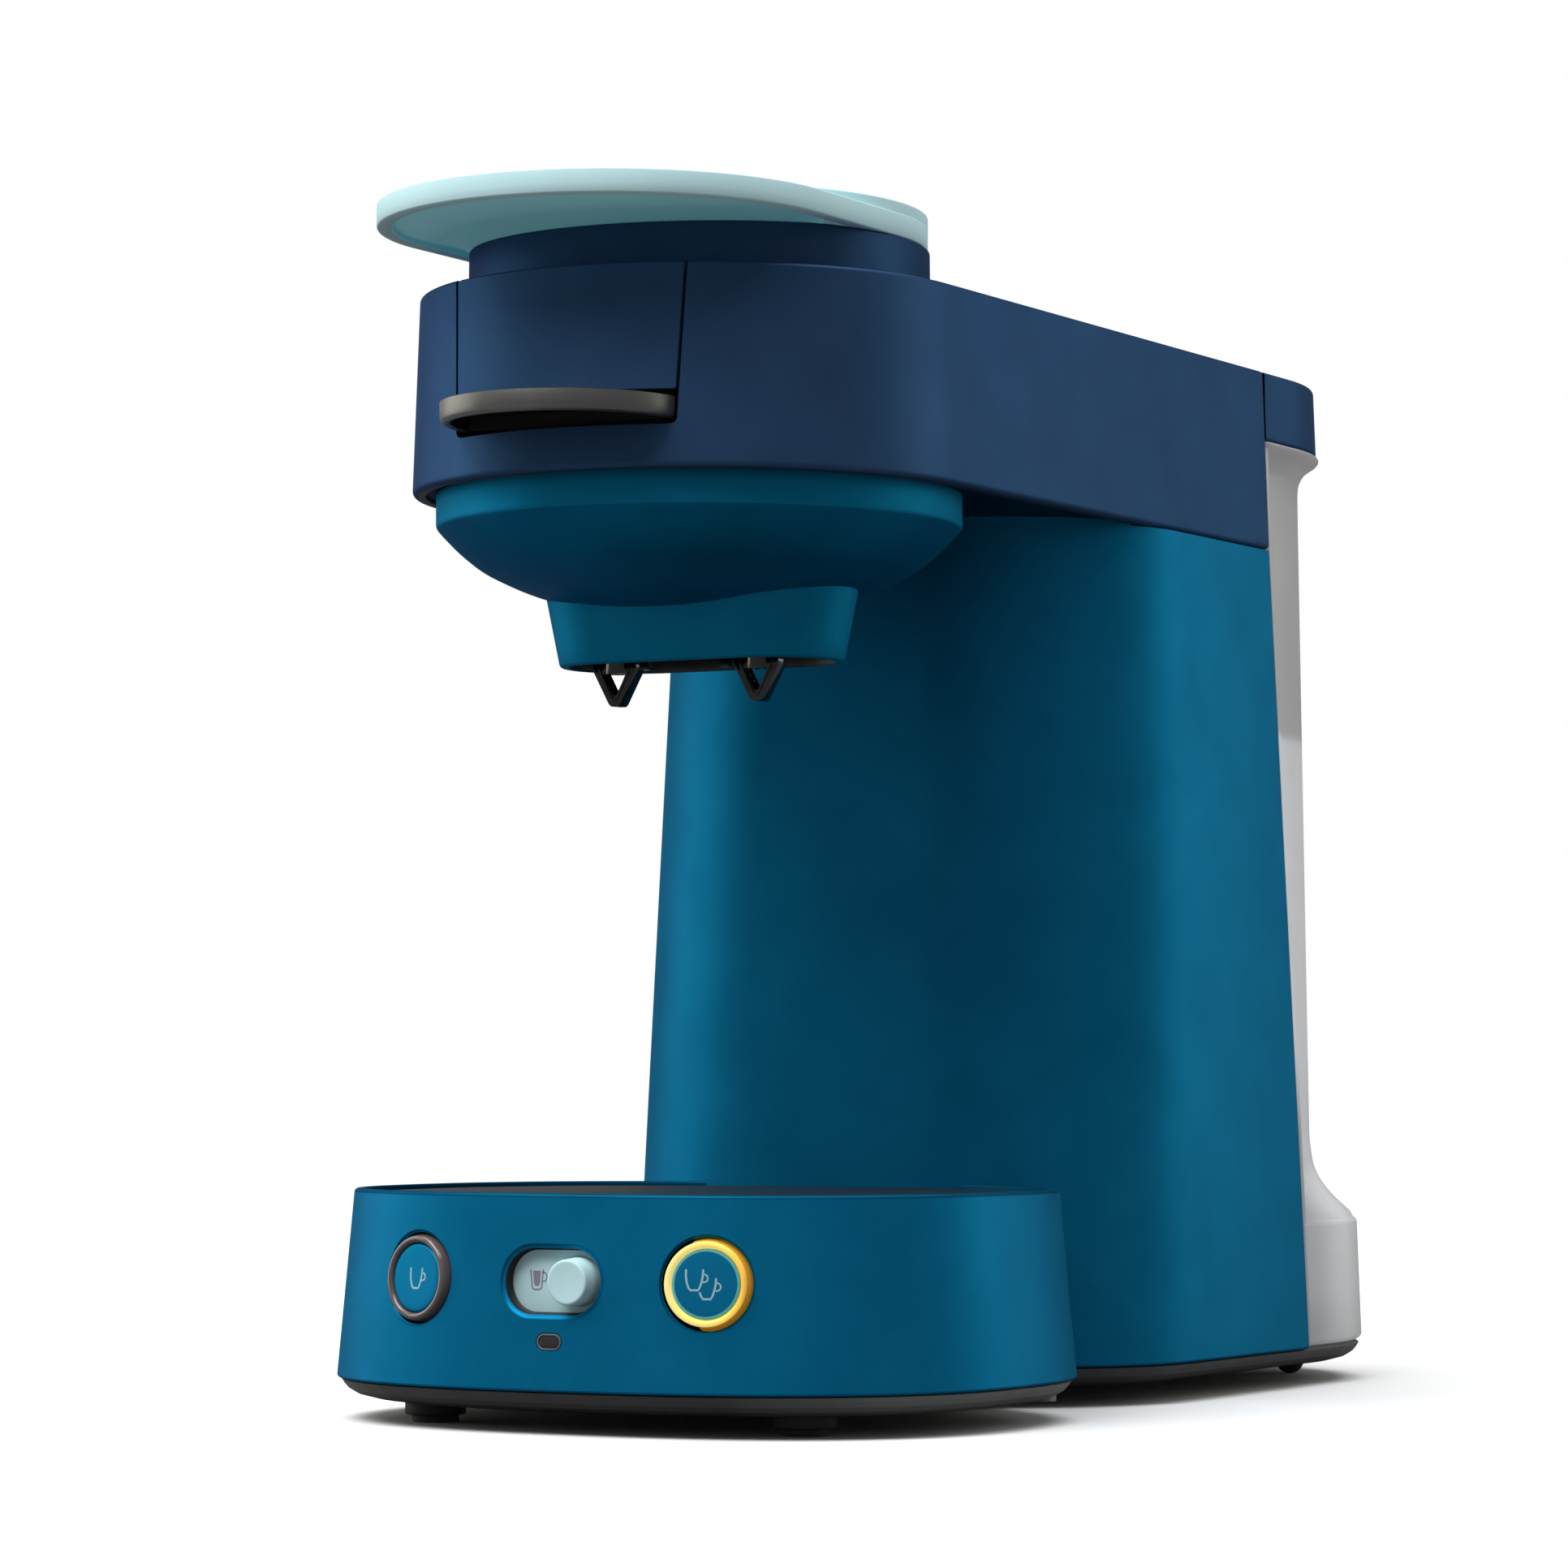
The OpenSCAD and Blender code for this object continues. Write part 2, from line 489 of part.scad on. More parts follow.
module lid_panel() color("#24405f") at() {
  difference() {
    intersection() {
      head_solid();
      front_opening(0.62, 198.62, head_top + 0.83);
    }
    loft([arm_plan(head_bottom - 0.83, 2.16), arm_plan(head_top - 2.08, 2.16)], [head_bottom - 0.83, head_top - 2.08]);
    translate([0, 0, 166]) cylinder(r = 43.16, h = 74.7, $fn = 128);
  }
  // ridge that meets the collar
  intersection() {
    difference() {
      translate([0, 0, head_top - 0.08]) cylinder(r = 46.15, h = 0.4);
      translate([0, 0, head_top - 0.83]) cylinder(r = 44.49, h = 2.49);
    }
    box(-19.92, 19.92, -49.8, -33.2, 215.8, 232.4);
  }
}
module lid_grip() color("#5c5b57") at() {
  difference() {
    union() {
      translate([0, -51.13, 193.14]) cylinder(r = grip_r, h = 4.15, $fn = 128);
    }
    box(-33.2, 33.2, -51.21, 0, 182.6, 207.5);
    translate([0, -51.13, 192.56]) cylinder(r = grip_r - 2.08, h = 3.24, $fn = 128);
  }
  // closing wall along the straight side
  box(-grip_r + 0.33, grip_r - 0.33, -53.12, -51.13, 193.22, 197.29);
  // rib that carries the grip on the panel
  intersection() {
    difference() {
      translate([0, 0, 197.21]) cylinder(r = 56.11, h = 1.41);
      translate([0, 0, 196.71]) cylinder(r = 54.95, h = 3.32);
    }
    box(-19.92, 19.92, -58.1, -41.5, 190.9, 203.35);
  }
}
module shower_plate() color("#b9bcc0") at() difference() {
  translate([0, 0, 209.66]) cylinder(r = 34.03, h = 2.82);
  for (r = [8.3, 16.6, 24.9]) for (i = [0:7]) rotate([0, 0, i * 45 + r]) translate([r, 0, 207.5])
    cylinder(r = 0.83, h = 8.3, $fn = 16);
}
module lid_seal() color("#2a2a2c") at() rotate_extrude($fn = 96)
  polygon([[34.2, 208.66], [38.18, 208], [38.68, 208.66], [38.35, 212.48], [34.2, 212.48]]);
module lever_pin() color("#9a9da0") at() xcyl(-24.07, 24.07, lever_pin_y, lever_pin_z, 1.25);

// ---------------------------------------------------------------- lever
module lever() color("#a0c5cc") at() difference() {
  union() {
    tongue(0, lever_low + 0.66, lever_thick - 0.66);
    tongue(0.66, lever_low, 0.83);
    translate([0, 0, lever_low]) rotate_extrude($fn = 128)
      polygon([[0, 0], [45.24, 0], [45.9, 0.66], [45.9, 6.23], [45.65, 6.72], [45.07, 7.06], [0, 7.06]]);
    for (s = [-1, 1]) {
      x0 = s * 18.34 - 1.83;
      xcyl(x0, x0 + 3.65, lever_pin_y, lever_pin_z, 2.82);
      box(x0, x0 + 3.65, lever_pin_y - 2.82, lever_pin_y + 1.83, lever_pin_z, lever_low + 2.49);
    }
  }
  // shallow field below, inside the rim; the lugs stand in it
  difference() {
    tongue(3.24, lever_low - 0.83, 1.74);
    for (s = [-1, 1]) box(s * 18.34 - 1.83, s * 18.34 + 1.83, lever_pin_y - 2.82, lever_pin_y + 1.83, 224.1, lever_low + 2.49);
  }
  xcyl(-24.9, 24.9, lever_pin_y, lever_pin_z, 1.29);
}

// ----------------------------------------------------------------- tank
function tank_front(z) = col_rear(min(z, head_bottom)) + 0.58;
function neck_r(z) = 54.86 - 0.0133 * (z - 58.1);
// Outer radius and centre of the tank by height: flare at the ridge, neck, rim
tank_form = [[33.53, 63.25, 171.4], [ridge_z, 63.33, 171.4], [37.6, 62.17, 170.48], [39.51, 60.51, 169.32], [41.33, 59.01, 168.49],
  [43.16, 57.77, 167.74], [44.99, 56.77, 167.16], [46.81, 56.03, 166.75], [48.64, 55.57, 166.42], [51.46, 55.2, 166.17], [54.78, 54.95, 166],
  [59.76, 54.86, 166], [124.5, neck_r(124.5), 166], [195.88, 53.04, 166], [200.45, 53.08, 166], [202.11, 53.29, 166],
  [203.93, 54.12, 166], [205.01, 54.95, 166], [205.84, 56.03, 166], [206.75, 57.52, 166], [207.83, 57.85, 166]];
module tank_outer() loft([for (q = tank_form) tank_plan(tank_front(q[0]), q[1], q[2])], [for (q = tank_form) q[0]]);
module tank_block() loft([tank_plan(tank_front(8.88), half_w(8.88) - 1.33, block_centre),
  tank_plan(tank_front(9.96), half_w(9.96) - block_gap, block_centre),
  tank_plan(tank_front(ridge_z), half_w(ridge_z) - block_gap, block_centre)], [8.88, 9.96, ridge_z]);
// The water space
module tank_inner() {
  w = tank_wall;
  loft([tank_plan(tank_front(10.96) + w, half_w(10.96) - block_gap - w, block_centre),
    tank_plan(tank_front(35.69) + w, half_w(35.69) - block_gap - w, block_centre),
    tank_plan(tank_front(44.82) + w, 56.77 - w, 167.16), tank_plan(tank_front(51.46) + w, 55.11 - w, 166.17),
    tank_plan(tank_front(59.76) + w, 54.86 - w, 166), tank_plan(tank_front(195.88) + w, 53.04 - w, 166),
    tank_plan(tank_front(215.8) + w, 52.95 - w, 166)], [10.96, 35.69, 44.82, 51.46, 59.76, 195.88, 215.8]);
}
// Upright plate at the front of the tank, as wide as the column
module tank_flange() loft([for (z = [33.2, 207.67]) [[-half_w(z) + 0.42, tank_front(z)], [half_w(z) - 0.42, tank_front(z)],
  [half_w(z) - 0.42, tank_front(z) + 1.66], [-half_w(z) + 0.42, tank_front(z) + 1.66]]], [33.2, 207.67]);
module water_tank() color([0.72, 0.73, 0.75, 0.55]) at() difference() {
  union() {
    difference() {
      union() {
        tank_outer();
        tank_block();
        tank_flange();
        // lip that enters the lid
        loft([for (z = [207.5, 211.15]) tank_plan(tank_front(207.5), 53.95, 166)], [207.5, 211.15]);
      }
      tank_inner();
    }
    // posts of the lid's hinge
    for (s = [-1, 1]) {
      x0 = s > 0 ? 33.62 : -38.6;
      box(x0, x0 + 4.98, tank_front(207.5), lid_hinge_y + 2.16, 207.83, lid_hinge_z);
      xcyl(x0, x0 + 4.98, lid_hinge_y, lid_hinge_z, 2.16);
    }
  }
  xcyl(-41.5, 41.5, lid_hinge_y, lid_hinge_z, 1.08);
  // seat of the valve, and room below for the receiver
  translate([0, 177.62, 4.15]) cylinder(r = 4.15, h = 9.96);
  translate([0, 177.62, 4.15]) cylinder(r = 10.38, h = 5.4);
}
module valve_cage() color("#d8dadc") at() translate([0, 177.62, 0]) difference() {
  union() {
    translate([0, 0, 10.96]) cylinder(r = 6.64, h = 1.33);
    translate([0, 0, 12.2]) cylinder(r = 5.81, h = 8.3);
    translate([0, 0, 9.63]) cylinder(r = 4.07, h = 1.41);
  }
  translate([0, 0, 13.28]) cylinder(r = 4.65, h = 5.81);
  translate([0, 0, 8.3]) cylinder(r = 2.82, h = 5.81);
  translate([0, 0, 16.6]) cylinder(r = 1.49, h = 5.81);
  for (t = [0, 60, 120]) rotate([0, 0, t]) translate([-8.3, -1.33, 13.7]) cube([16.6, 2.66, 4.15]);
}
// Sprung plunger of the tank's valve, closed as it is with the tank off
module valve_plunger() color("#e4e6e8") at() translate([0, 177.62, 0]) {
  translate([0, 0, 7.06]) cylinder(r = 1.25, h = 6.64);
  translate([0, 0, 13.37]) cylinder(r = 3.82, h = 1.33);
  translate([0, 0, 14.62]) cylinder(r = 1.25, h = 5.31);
}
module tank_lid_pin() color("#9a9da0") at() xcyl(-38.6, 38.6, lid_hinge_y, lid_hinge_z, 1.08);
module tank_lid() color("#223a5a") at() difference() {
  union() {
    difference() {
      loft([for (q = [[208.16, 0], [head_top - 0.83, 0], [head_top - 0.25, 0.21], [head_top, 0.75]])
        tank_plan(lid_front + q[1] * 0.4, half_w(q[0]) - 0.08 - q[1], 166)],
        [208.16, head_top - 0.83, head_top - 0.25, head_top]);
      // hollow below, open towards the arm
      loft([for (z = [207.5, head_top - 1.99]) tank_plan(arm_rear - 1.66, 55.03, 166)], [207.5, head_top - 1.99]);
    }
    // knuckles that hang on the pin
    for (s = [-1, 1]) {
      x0 = s > 0 ? 28.05 : -33.37;
      xcyl(x0, x0 + 5.31, lid_hinge_y, lid_hinge_z, 2.16);
      box(x0, x0 + 5.31, lid_hinge_y - 2.16, lid_hinge_y + 2.16, lid_hinge_z, head_top - 1.91);
    }
  }
  // the front edge is rounded about the pin so that it clears the arm
  difference() {
    box(-74.7, 74.7, lid_front - 4.15, lid_hinge_y, lid_hinge_z, head_top + 4.15);
    xcyl(-74.7, 74.7, lid_hinge_y, lid_hinge_z, lid_hinge_y - lid_front);
  }
  // notches for the tank's posts
  for (s = [-1, 1]) box(s * 36.11 - 2.82, s * 36.11 + 2.82, 141.1, lid_hinge_y + 2.74, 203.35, head_top + 4.15);
  xcyl(-34.03, 34.03, lid_hinge_y, lid_hinge_z, 1.13);
}

// ----------------------------------------------------- tray and grid
module drip_tray() color("#1a1a1a") at() difference() {
  union() {
    translate([0, 0, 13.28]) linear_extrude(27.89) polygon(oval(59.26, 42.66, 6.64));
    translate([0, 0, 41.09]) linear_extrude(1.58) polygon(drum_plan(43.16, 2.49));
    // raised edge in which the grid lies
    translate([0, 0, 42.6]) linear_extrude(2.25) difference() {
      polygon(drum_plan(44.82, 2.49));
      polygon(drum_plan(44.82, 4.4));
    }
  }
  translate([0, 0, 14.94]) linear_extrude(33.2) polygon(oval(57.6, 41, 6.64));
  column_block(-0.5);
}
module cup_grid() color("#1e1f20") at() difference() {
  translate([0, 0, 42.75]) linear_extrude(2.16) polygon(drum_plan(44.82, 4.65));
  column_block(-0.5);
  // slanting drain slots
  intersection() {
    translate([0, 0, 41.5]) linear_extrude(4.98) polygon(oval(54.78, 37.35, 4.98));
    union() for (i = [-13:13]) rotate([0, 0, 24]) translate([-74.7, i * 4.98 - 1.08 + 4.98, 41.5]) cube([149.4, 2.16, 4.98]);
  }
  // fine grooves that carry the ribbed look to the edge
  for (i = [-15:15]) translate([0, 0, 44.49]) rotate([0, 0, 24]) translate([-78.85, i * 4.98 + 1.41 + 4.98, 0]) cube([157.7, 2.16, 1.66]);
}

// -------------------------------------------------------------- controls
module button_ring(s) at() at_button(s) rotate([90, 0, 0]) rotate_extrude($fn = 64)
  polygon([[6.72, -4.15], [8.76, -4.15], [8.76, -1.16], [8.22, 0.08], [7.89, 0.62], [7.47, 0.83], [7.06, 0.79], [6.72, 0.5]]);
module button_cap(s) at() at_button(s) union() {
  ycyl(-0.29, 3.82, 6.68);
  ycyl(3.7, 4.9, 6.6);
  ycyl(4.16, 4.9, 8.72);
  ycyl(4.8, 6.14, 2.49);
}
module button_one_cap() color("#166584") button_cap(-1);
module button_one_ring() color("#4a3a38") button_ring(-1);
module button_two_cap() color("#166584") button_cap(1);
module button_two_ring() color("#ffd45a") button_ring(1);
// Round thumb knob on a plate that slides behind the window
module selector_slider() color("#a0c5cc") at() {
  box(-12.04, 12.04 + selector_travel - 0.33, -53.37, -51.71, button_z - 7.39, button_z + 7.39);
  translate([5.06, -53.29, button_z]) rotate([90, 0, 0]) cylinder(r1 = 4.73, r2 = 4.32, h = 5.4);
}

// ------------------------------------------------------------- inside
module boiler() color("#b4b7ba") at() translate([0, 106.24, 0]) difference() {
  union() {
    translate([0, 0, 66.4]) cylinder(r = 29.88, h = 83);
    // flange for the cover
    translate([0, 0, 145.4]) cylinder(r = 34.4, h = 4);
    xcyl(28.22, 37.35, 0, 74.7, 2.49);
  }
  translate([0, 0, 70]) cylinder(r = 26.9, h = 84);
  for (i = [0:3]) rotate([0, 0, i * 90 + 45]) translate([32.1, 0, 141.1]) cylinder(r = 1.25, h = 16.6);
  xcyl(24.9, 41.5, 0, 74.7, 1.49);
}
module boiler_cover() color("#8f9396") at() translate([0, 106.24, 0]) difference() {
  union() {
    translate([0, 0, 149.4]) cylinder(r = 34.4, h = 3.32);
    translate([0, 0, 152.64]) cylinder(r = 5.81, h = 3.32);
    translate([0, 0, 155.87]) cylinder(r = 2.82, h = 6.81);
    for (s = [-1, 1]) translate([s * 16.6, 6.64, 152.64]) cylinder(r = 2.49, h = 5.81);
  }
  for (i = [0:3]) rotate([0, 0, i * 90 + 45]) translate([32.1, 0, 141.1]) cylinder(r = 1.25, h = 16.6);
  translate([0, 0, 141.1]) cylinder(r = 1.49, h = 24.9);
}
module thermostat(z) color("#d9d2c4") at() difference() {
  union() {
    translate([0, 137.12, z]) rotate([-90, 0, 0]) cylinder(r = 6.64, h = 4.15);
    for (s = [-1, 1]) box(s * 3.32 - 1.25, s * 3.32 + 1.25, 141.1, 144.42, z - 0.33, z + 0.33);
  }
  translate([0, 106.24, 49.8]) cylinder(r = 29.96, h = 107.9);
}
module thermostat_upper() thermostat(132.8);
module thermostat_lower() thermostat(99.6);
module pump() color("#c9cbcd") at() difference() {
  union() {
    xcyl(-34.86, 34.86, 106.24, 36.52, 9.96);
    box(-14.94, 14.94, 91.3, 121.18, 23.24, 49.8);
    xcyl(-41.5, -34.78, 106.24, 36.52, 4.15);
    xcyl(34.78, 41.5, 106.24, 36.52, 3.32);
  }
  xcyl(-49.8, 49.8, 106.24, 36.52, 1.49);
}
module pump_mount(s) color("#161616") at() difference() {
  box(s > 0 ? 19.92 : -26.56, s > 0 ? 26.56 : -19.92, 92.96, 119.52, 5.81, 49.8);
  xcyl(-49.8, 49.8, 106.24, 36.52, 9.96);
}
module pump_mount_left() pump_mount(-1);
module pump_mount_right() pump_mount(1);
module hose_inlet() color("#d7dadb") at() hose([[0, 141.93, 15.4], [0, 141.93, 22.41], [-14.94, 139.44, 29.88], [-38.18, 132.8, 31.54],
  [-53.12, 121.18, 34.03], [-51.46, 108.32, 36.52], [-46.48, 106.24, 36.52], [-41.5, 106.24, 36.52]], 2.66);
module hose_rising() color("#d7dadb") at() hose([[41.5, 106.24, 36.52], [47.31, 106.24, 36.52], [53.95, 106.24, 43.99], [54.78, 106.24, 58.1],
  [50.63, 106.24, 70.55], [43.16, 106.24, 74.7], [37.35, 106.24, 74.7]], 2.49);
module hose_head() color("#d7dadb") at() hose([[0, 106.24, 162.68], [0, 106.24, 177.62], [0, 104.58, 192.56], [0, 97.94, 204.18],
  [0, 84.66, 209.16], [0, 69.72, 209.16], [0, 56.44, 209.16]], 2.99);
module main_board() color("#1f5b35") at() {
  box(-54.78, -53.45, 91.3, 131.14, 49.8, 124.5);
  box(-53.54, -44.82, 96.28, 109.56, 91.3, 107.9);
  box(-53.54, -48.14, 97.94, 116.2, 58.1, 74.7);
}
module cord_gland() color("#141414") at() difference() {
  union() {
    xcyl(-half_w(24.9) - 1.66, -half_w(24.9) + 6.64, 132.8, 24.9, 5.73);
    xcyl(-half_w(24.9) - 1.99, -half_w(24.9) - 0.29, 132.8, 24.9, 7.89);
  }
  xcyl(-74.7, -49.8, 132.8, 24.9, 2.91);
}
module tank_seat() color("#1b1b1b") at() difference() {
  union() {
    translate([0, 177.62, 4.32]) cylinder(r = 6.56, h = 2.91);
    translate([0, 177.62, 7.14]) cylinder(r = 5.31, h = 1.58);
    // duct forward into the column and the spigot for the hose
    box(-4.57, 4.57, 141.93, 177.62, 4.32, 7.22);
    translate([0, 141.93, 4.32]) cylinder(r = 4.57, h = 2.91);
    translate([0, 141.93, 7.14]) cylinder(r = 2.41, h = 7.89);
  }
  translate([0, 177.62, 5.31]) cylinder(r = 3.32, h = 8.3);
  translate([0, 141.93, 5.31]) cylinder(r = 1.33, h = 16.6);
  box(-1.33, 1.33, 141.93, 177.62, 5.31, 6.31);
}

base_plate();
foot_front_left();
foot_front_right();
foot_rear_left();
foot_rear_right();
base_screw_front_left();
base_screw_front_right();
base_screw_rear_left();
base_screw_rear_right();
drum_shell();
tray_deck();
indicator_lens();
control_board();
column_shell();
head_shell();
head_underside();
coffee_collector();
spout_insert();
nozzle_left();
nozzle_right();
brew_chamber();
front_lining();
pad_holder();
hinge_bracket();
lid_pin();
boiler();
boiler_cover();
thermostat_upper();
thermostat_lower();
pump();
pump_mount_left();
pump_mount_right();
hose_inlet();
hose_rising();
hose_head();
main_board();
cord_gland();
tank_seat();
lid_collar();
lid_panel();
lid_grip();
shower_plate();
lid_seal();
lever_pin();
lever();
water_tank();
valve_cage();
valve_plunger();
tank_lid_pin();
tank_lid();
drip_tray();
cup_grid();
button_one_cap();
button_one_ring();
button_two_cap();
button_two_ring();
selector_slider();
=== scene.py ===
import bpy, bmesh, math
from mathutils import Vector, Matrix
from mathutils.geometry import delaunay_2d_cdt


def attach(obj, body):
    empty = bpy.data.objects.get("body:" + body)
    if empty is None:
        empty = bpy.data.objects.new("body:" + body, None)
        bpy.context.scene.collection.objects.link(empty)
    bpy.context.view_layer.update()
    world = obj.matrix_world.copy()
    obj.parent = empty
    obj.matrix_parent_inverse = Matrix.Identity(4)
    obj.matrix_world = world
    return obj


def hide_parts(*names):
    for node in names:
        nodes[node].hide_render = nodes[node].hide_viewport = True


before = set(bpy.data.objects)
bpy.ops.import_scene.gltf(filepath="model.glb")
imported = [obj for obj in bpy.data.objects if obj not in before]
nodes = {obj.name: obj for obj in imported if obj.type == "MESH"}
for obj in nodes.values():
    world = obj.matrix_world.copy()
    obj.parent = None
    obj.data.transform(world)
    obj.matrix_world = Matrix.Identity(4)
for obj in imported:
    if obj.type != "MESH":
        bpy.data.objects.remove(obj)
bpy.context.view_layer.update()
MID = 77.88          # mm, from the head's axis to the frame's origin
pi = math.pi


# ------------------------------------------------------------------ materials
def lin(c):
    return tuple(((v / 255) / 12.92 if v <= 10 else (((v / 255) + 0.055) / 1.055) ** 2.4) for v in c) + (1.0,)


def plastic(name, dark, light, rough=0.42, grain=2600, bump=0.12, speck=0.35, coat=0.0, metal=0.0,
            trans=0.0, alpha=1.0, mottle=60, spec=0.5, emit=None, emit_strength=0.0, ior=1.5, tint=None):
    """Moulded plastic: a slow colour drift, a fine speckle, and the grain of the mould as bump."""
    m = bpy.data.materials.new(name)
    m.use_nodes = True
    nt = m.node_tree
    n, l = nt.nodes, nt.links
    p = n["Principled BSDF"]
    tc = n.new("ShaderNodeTexCoord")
    slow = n.new("ShaderNodeTexNoise"); slow.inputs["Scale"].default_value = mottle
    slow.inputs["Detail"].default_value = 2.0
    fine = n.new("ShaderNodeTexNoise"); fine.inputs["Scale"].default_value = grain
    fine.inputs["Detail"].default_value = 3.0
    l.new(tc.outputs["Object"], slow.inputs["Vector"])
    l.new(tc.outputs["Object"], fine.inputs["Vector"])
    mixf = n.new("ShaderNodeMix"); mixf.data_type = "FLOAT"
    mixf.inputs[0].default_value = speck
    l.new(slow.outputs["Fac"], mixf.inputs[2]); l.new(fine.outputs["Fac"], mixf.inputs[3])
    ramp = n.new("ShaderNodeValToRGB")
    ramp.color_ramp.elements[0].position = 0.3; ramp.color_ramp.elements[0].color = lin(dark)
    ramp.color_ramp.elements[1].position = 0.7; ramp.color_ramp.elements[1].color = lin(light)
    l.new(mixf.outputs[0], ramp.inputs["Fac"])
    l.new(ramp.outputs["Color"], p.inputs["Base Color"])
    mr = n.new("ShaderNodeMapRange")
    mr.inputs["From Min"].default_value = 0.25; mr.inputs["From Max"].default_value = 0.75
    mr.inputs["To Min"].default_value = max(0.02, rough - 0.035); mr.inputs["To Max"].default_value = rough + 0.035
    l.new(fine.outputs["Fac"], mr.inputs["Value"]); l.new(mr.outputs["Result"], p.inputs["Roughness"])
    if bump:
        b = n.new("ShaderNodeBump"); b.inputs["Strength"].default_value = bump
        b.inputs["Distance"].default_value = 0.00006
        l.new(fine.outputs["Fac"], b.inputs["Height"]); l.new(b.outputs["Normal"], p.inputs["Normal"])
    p.inputs["Metallic"].default_value = metal
    p.inputs["Specular IOR Level"].default_value = spec
    p.inputs["IOR"].default_value = ior
    p.inputs["Coat Weight"].default_value = coat
    p.inputs["Transmission Weight"].default_value = trans
    p.inputs["Alpha"].default_value = alpha
    if tint:
        p.inputs["Specular Tint"].default_value = lin(tint)
    if emit:
        p.inputs["Emission Color"].default_value = lin(emit)
        p.inputs["Emission Strength"].default_value = emit_strength
    m.diffuse_color = lin([(a + b) / 2 for a, b in zip(dark, light)])
    return m


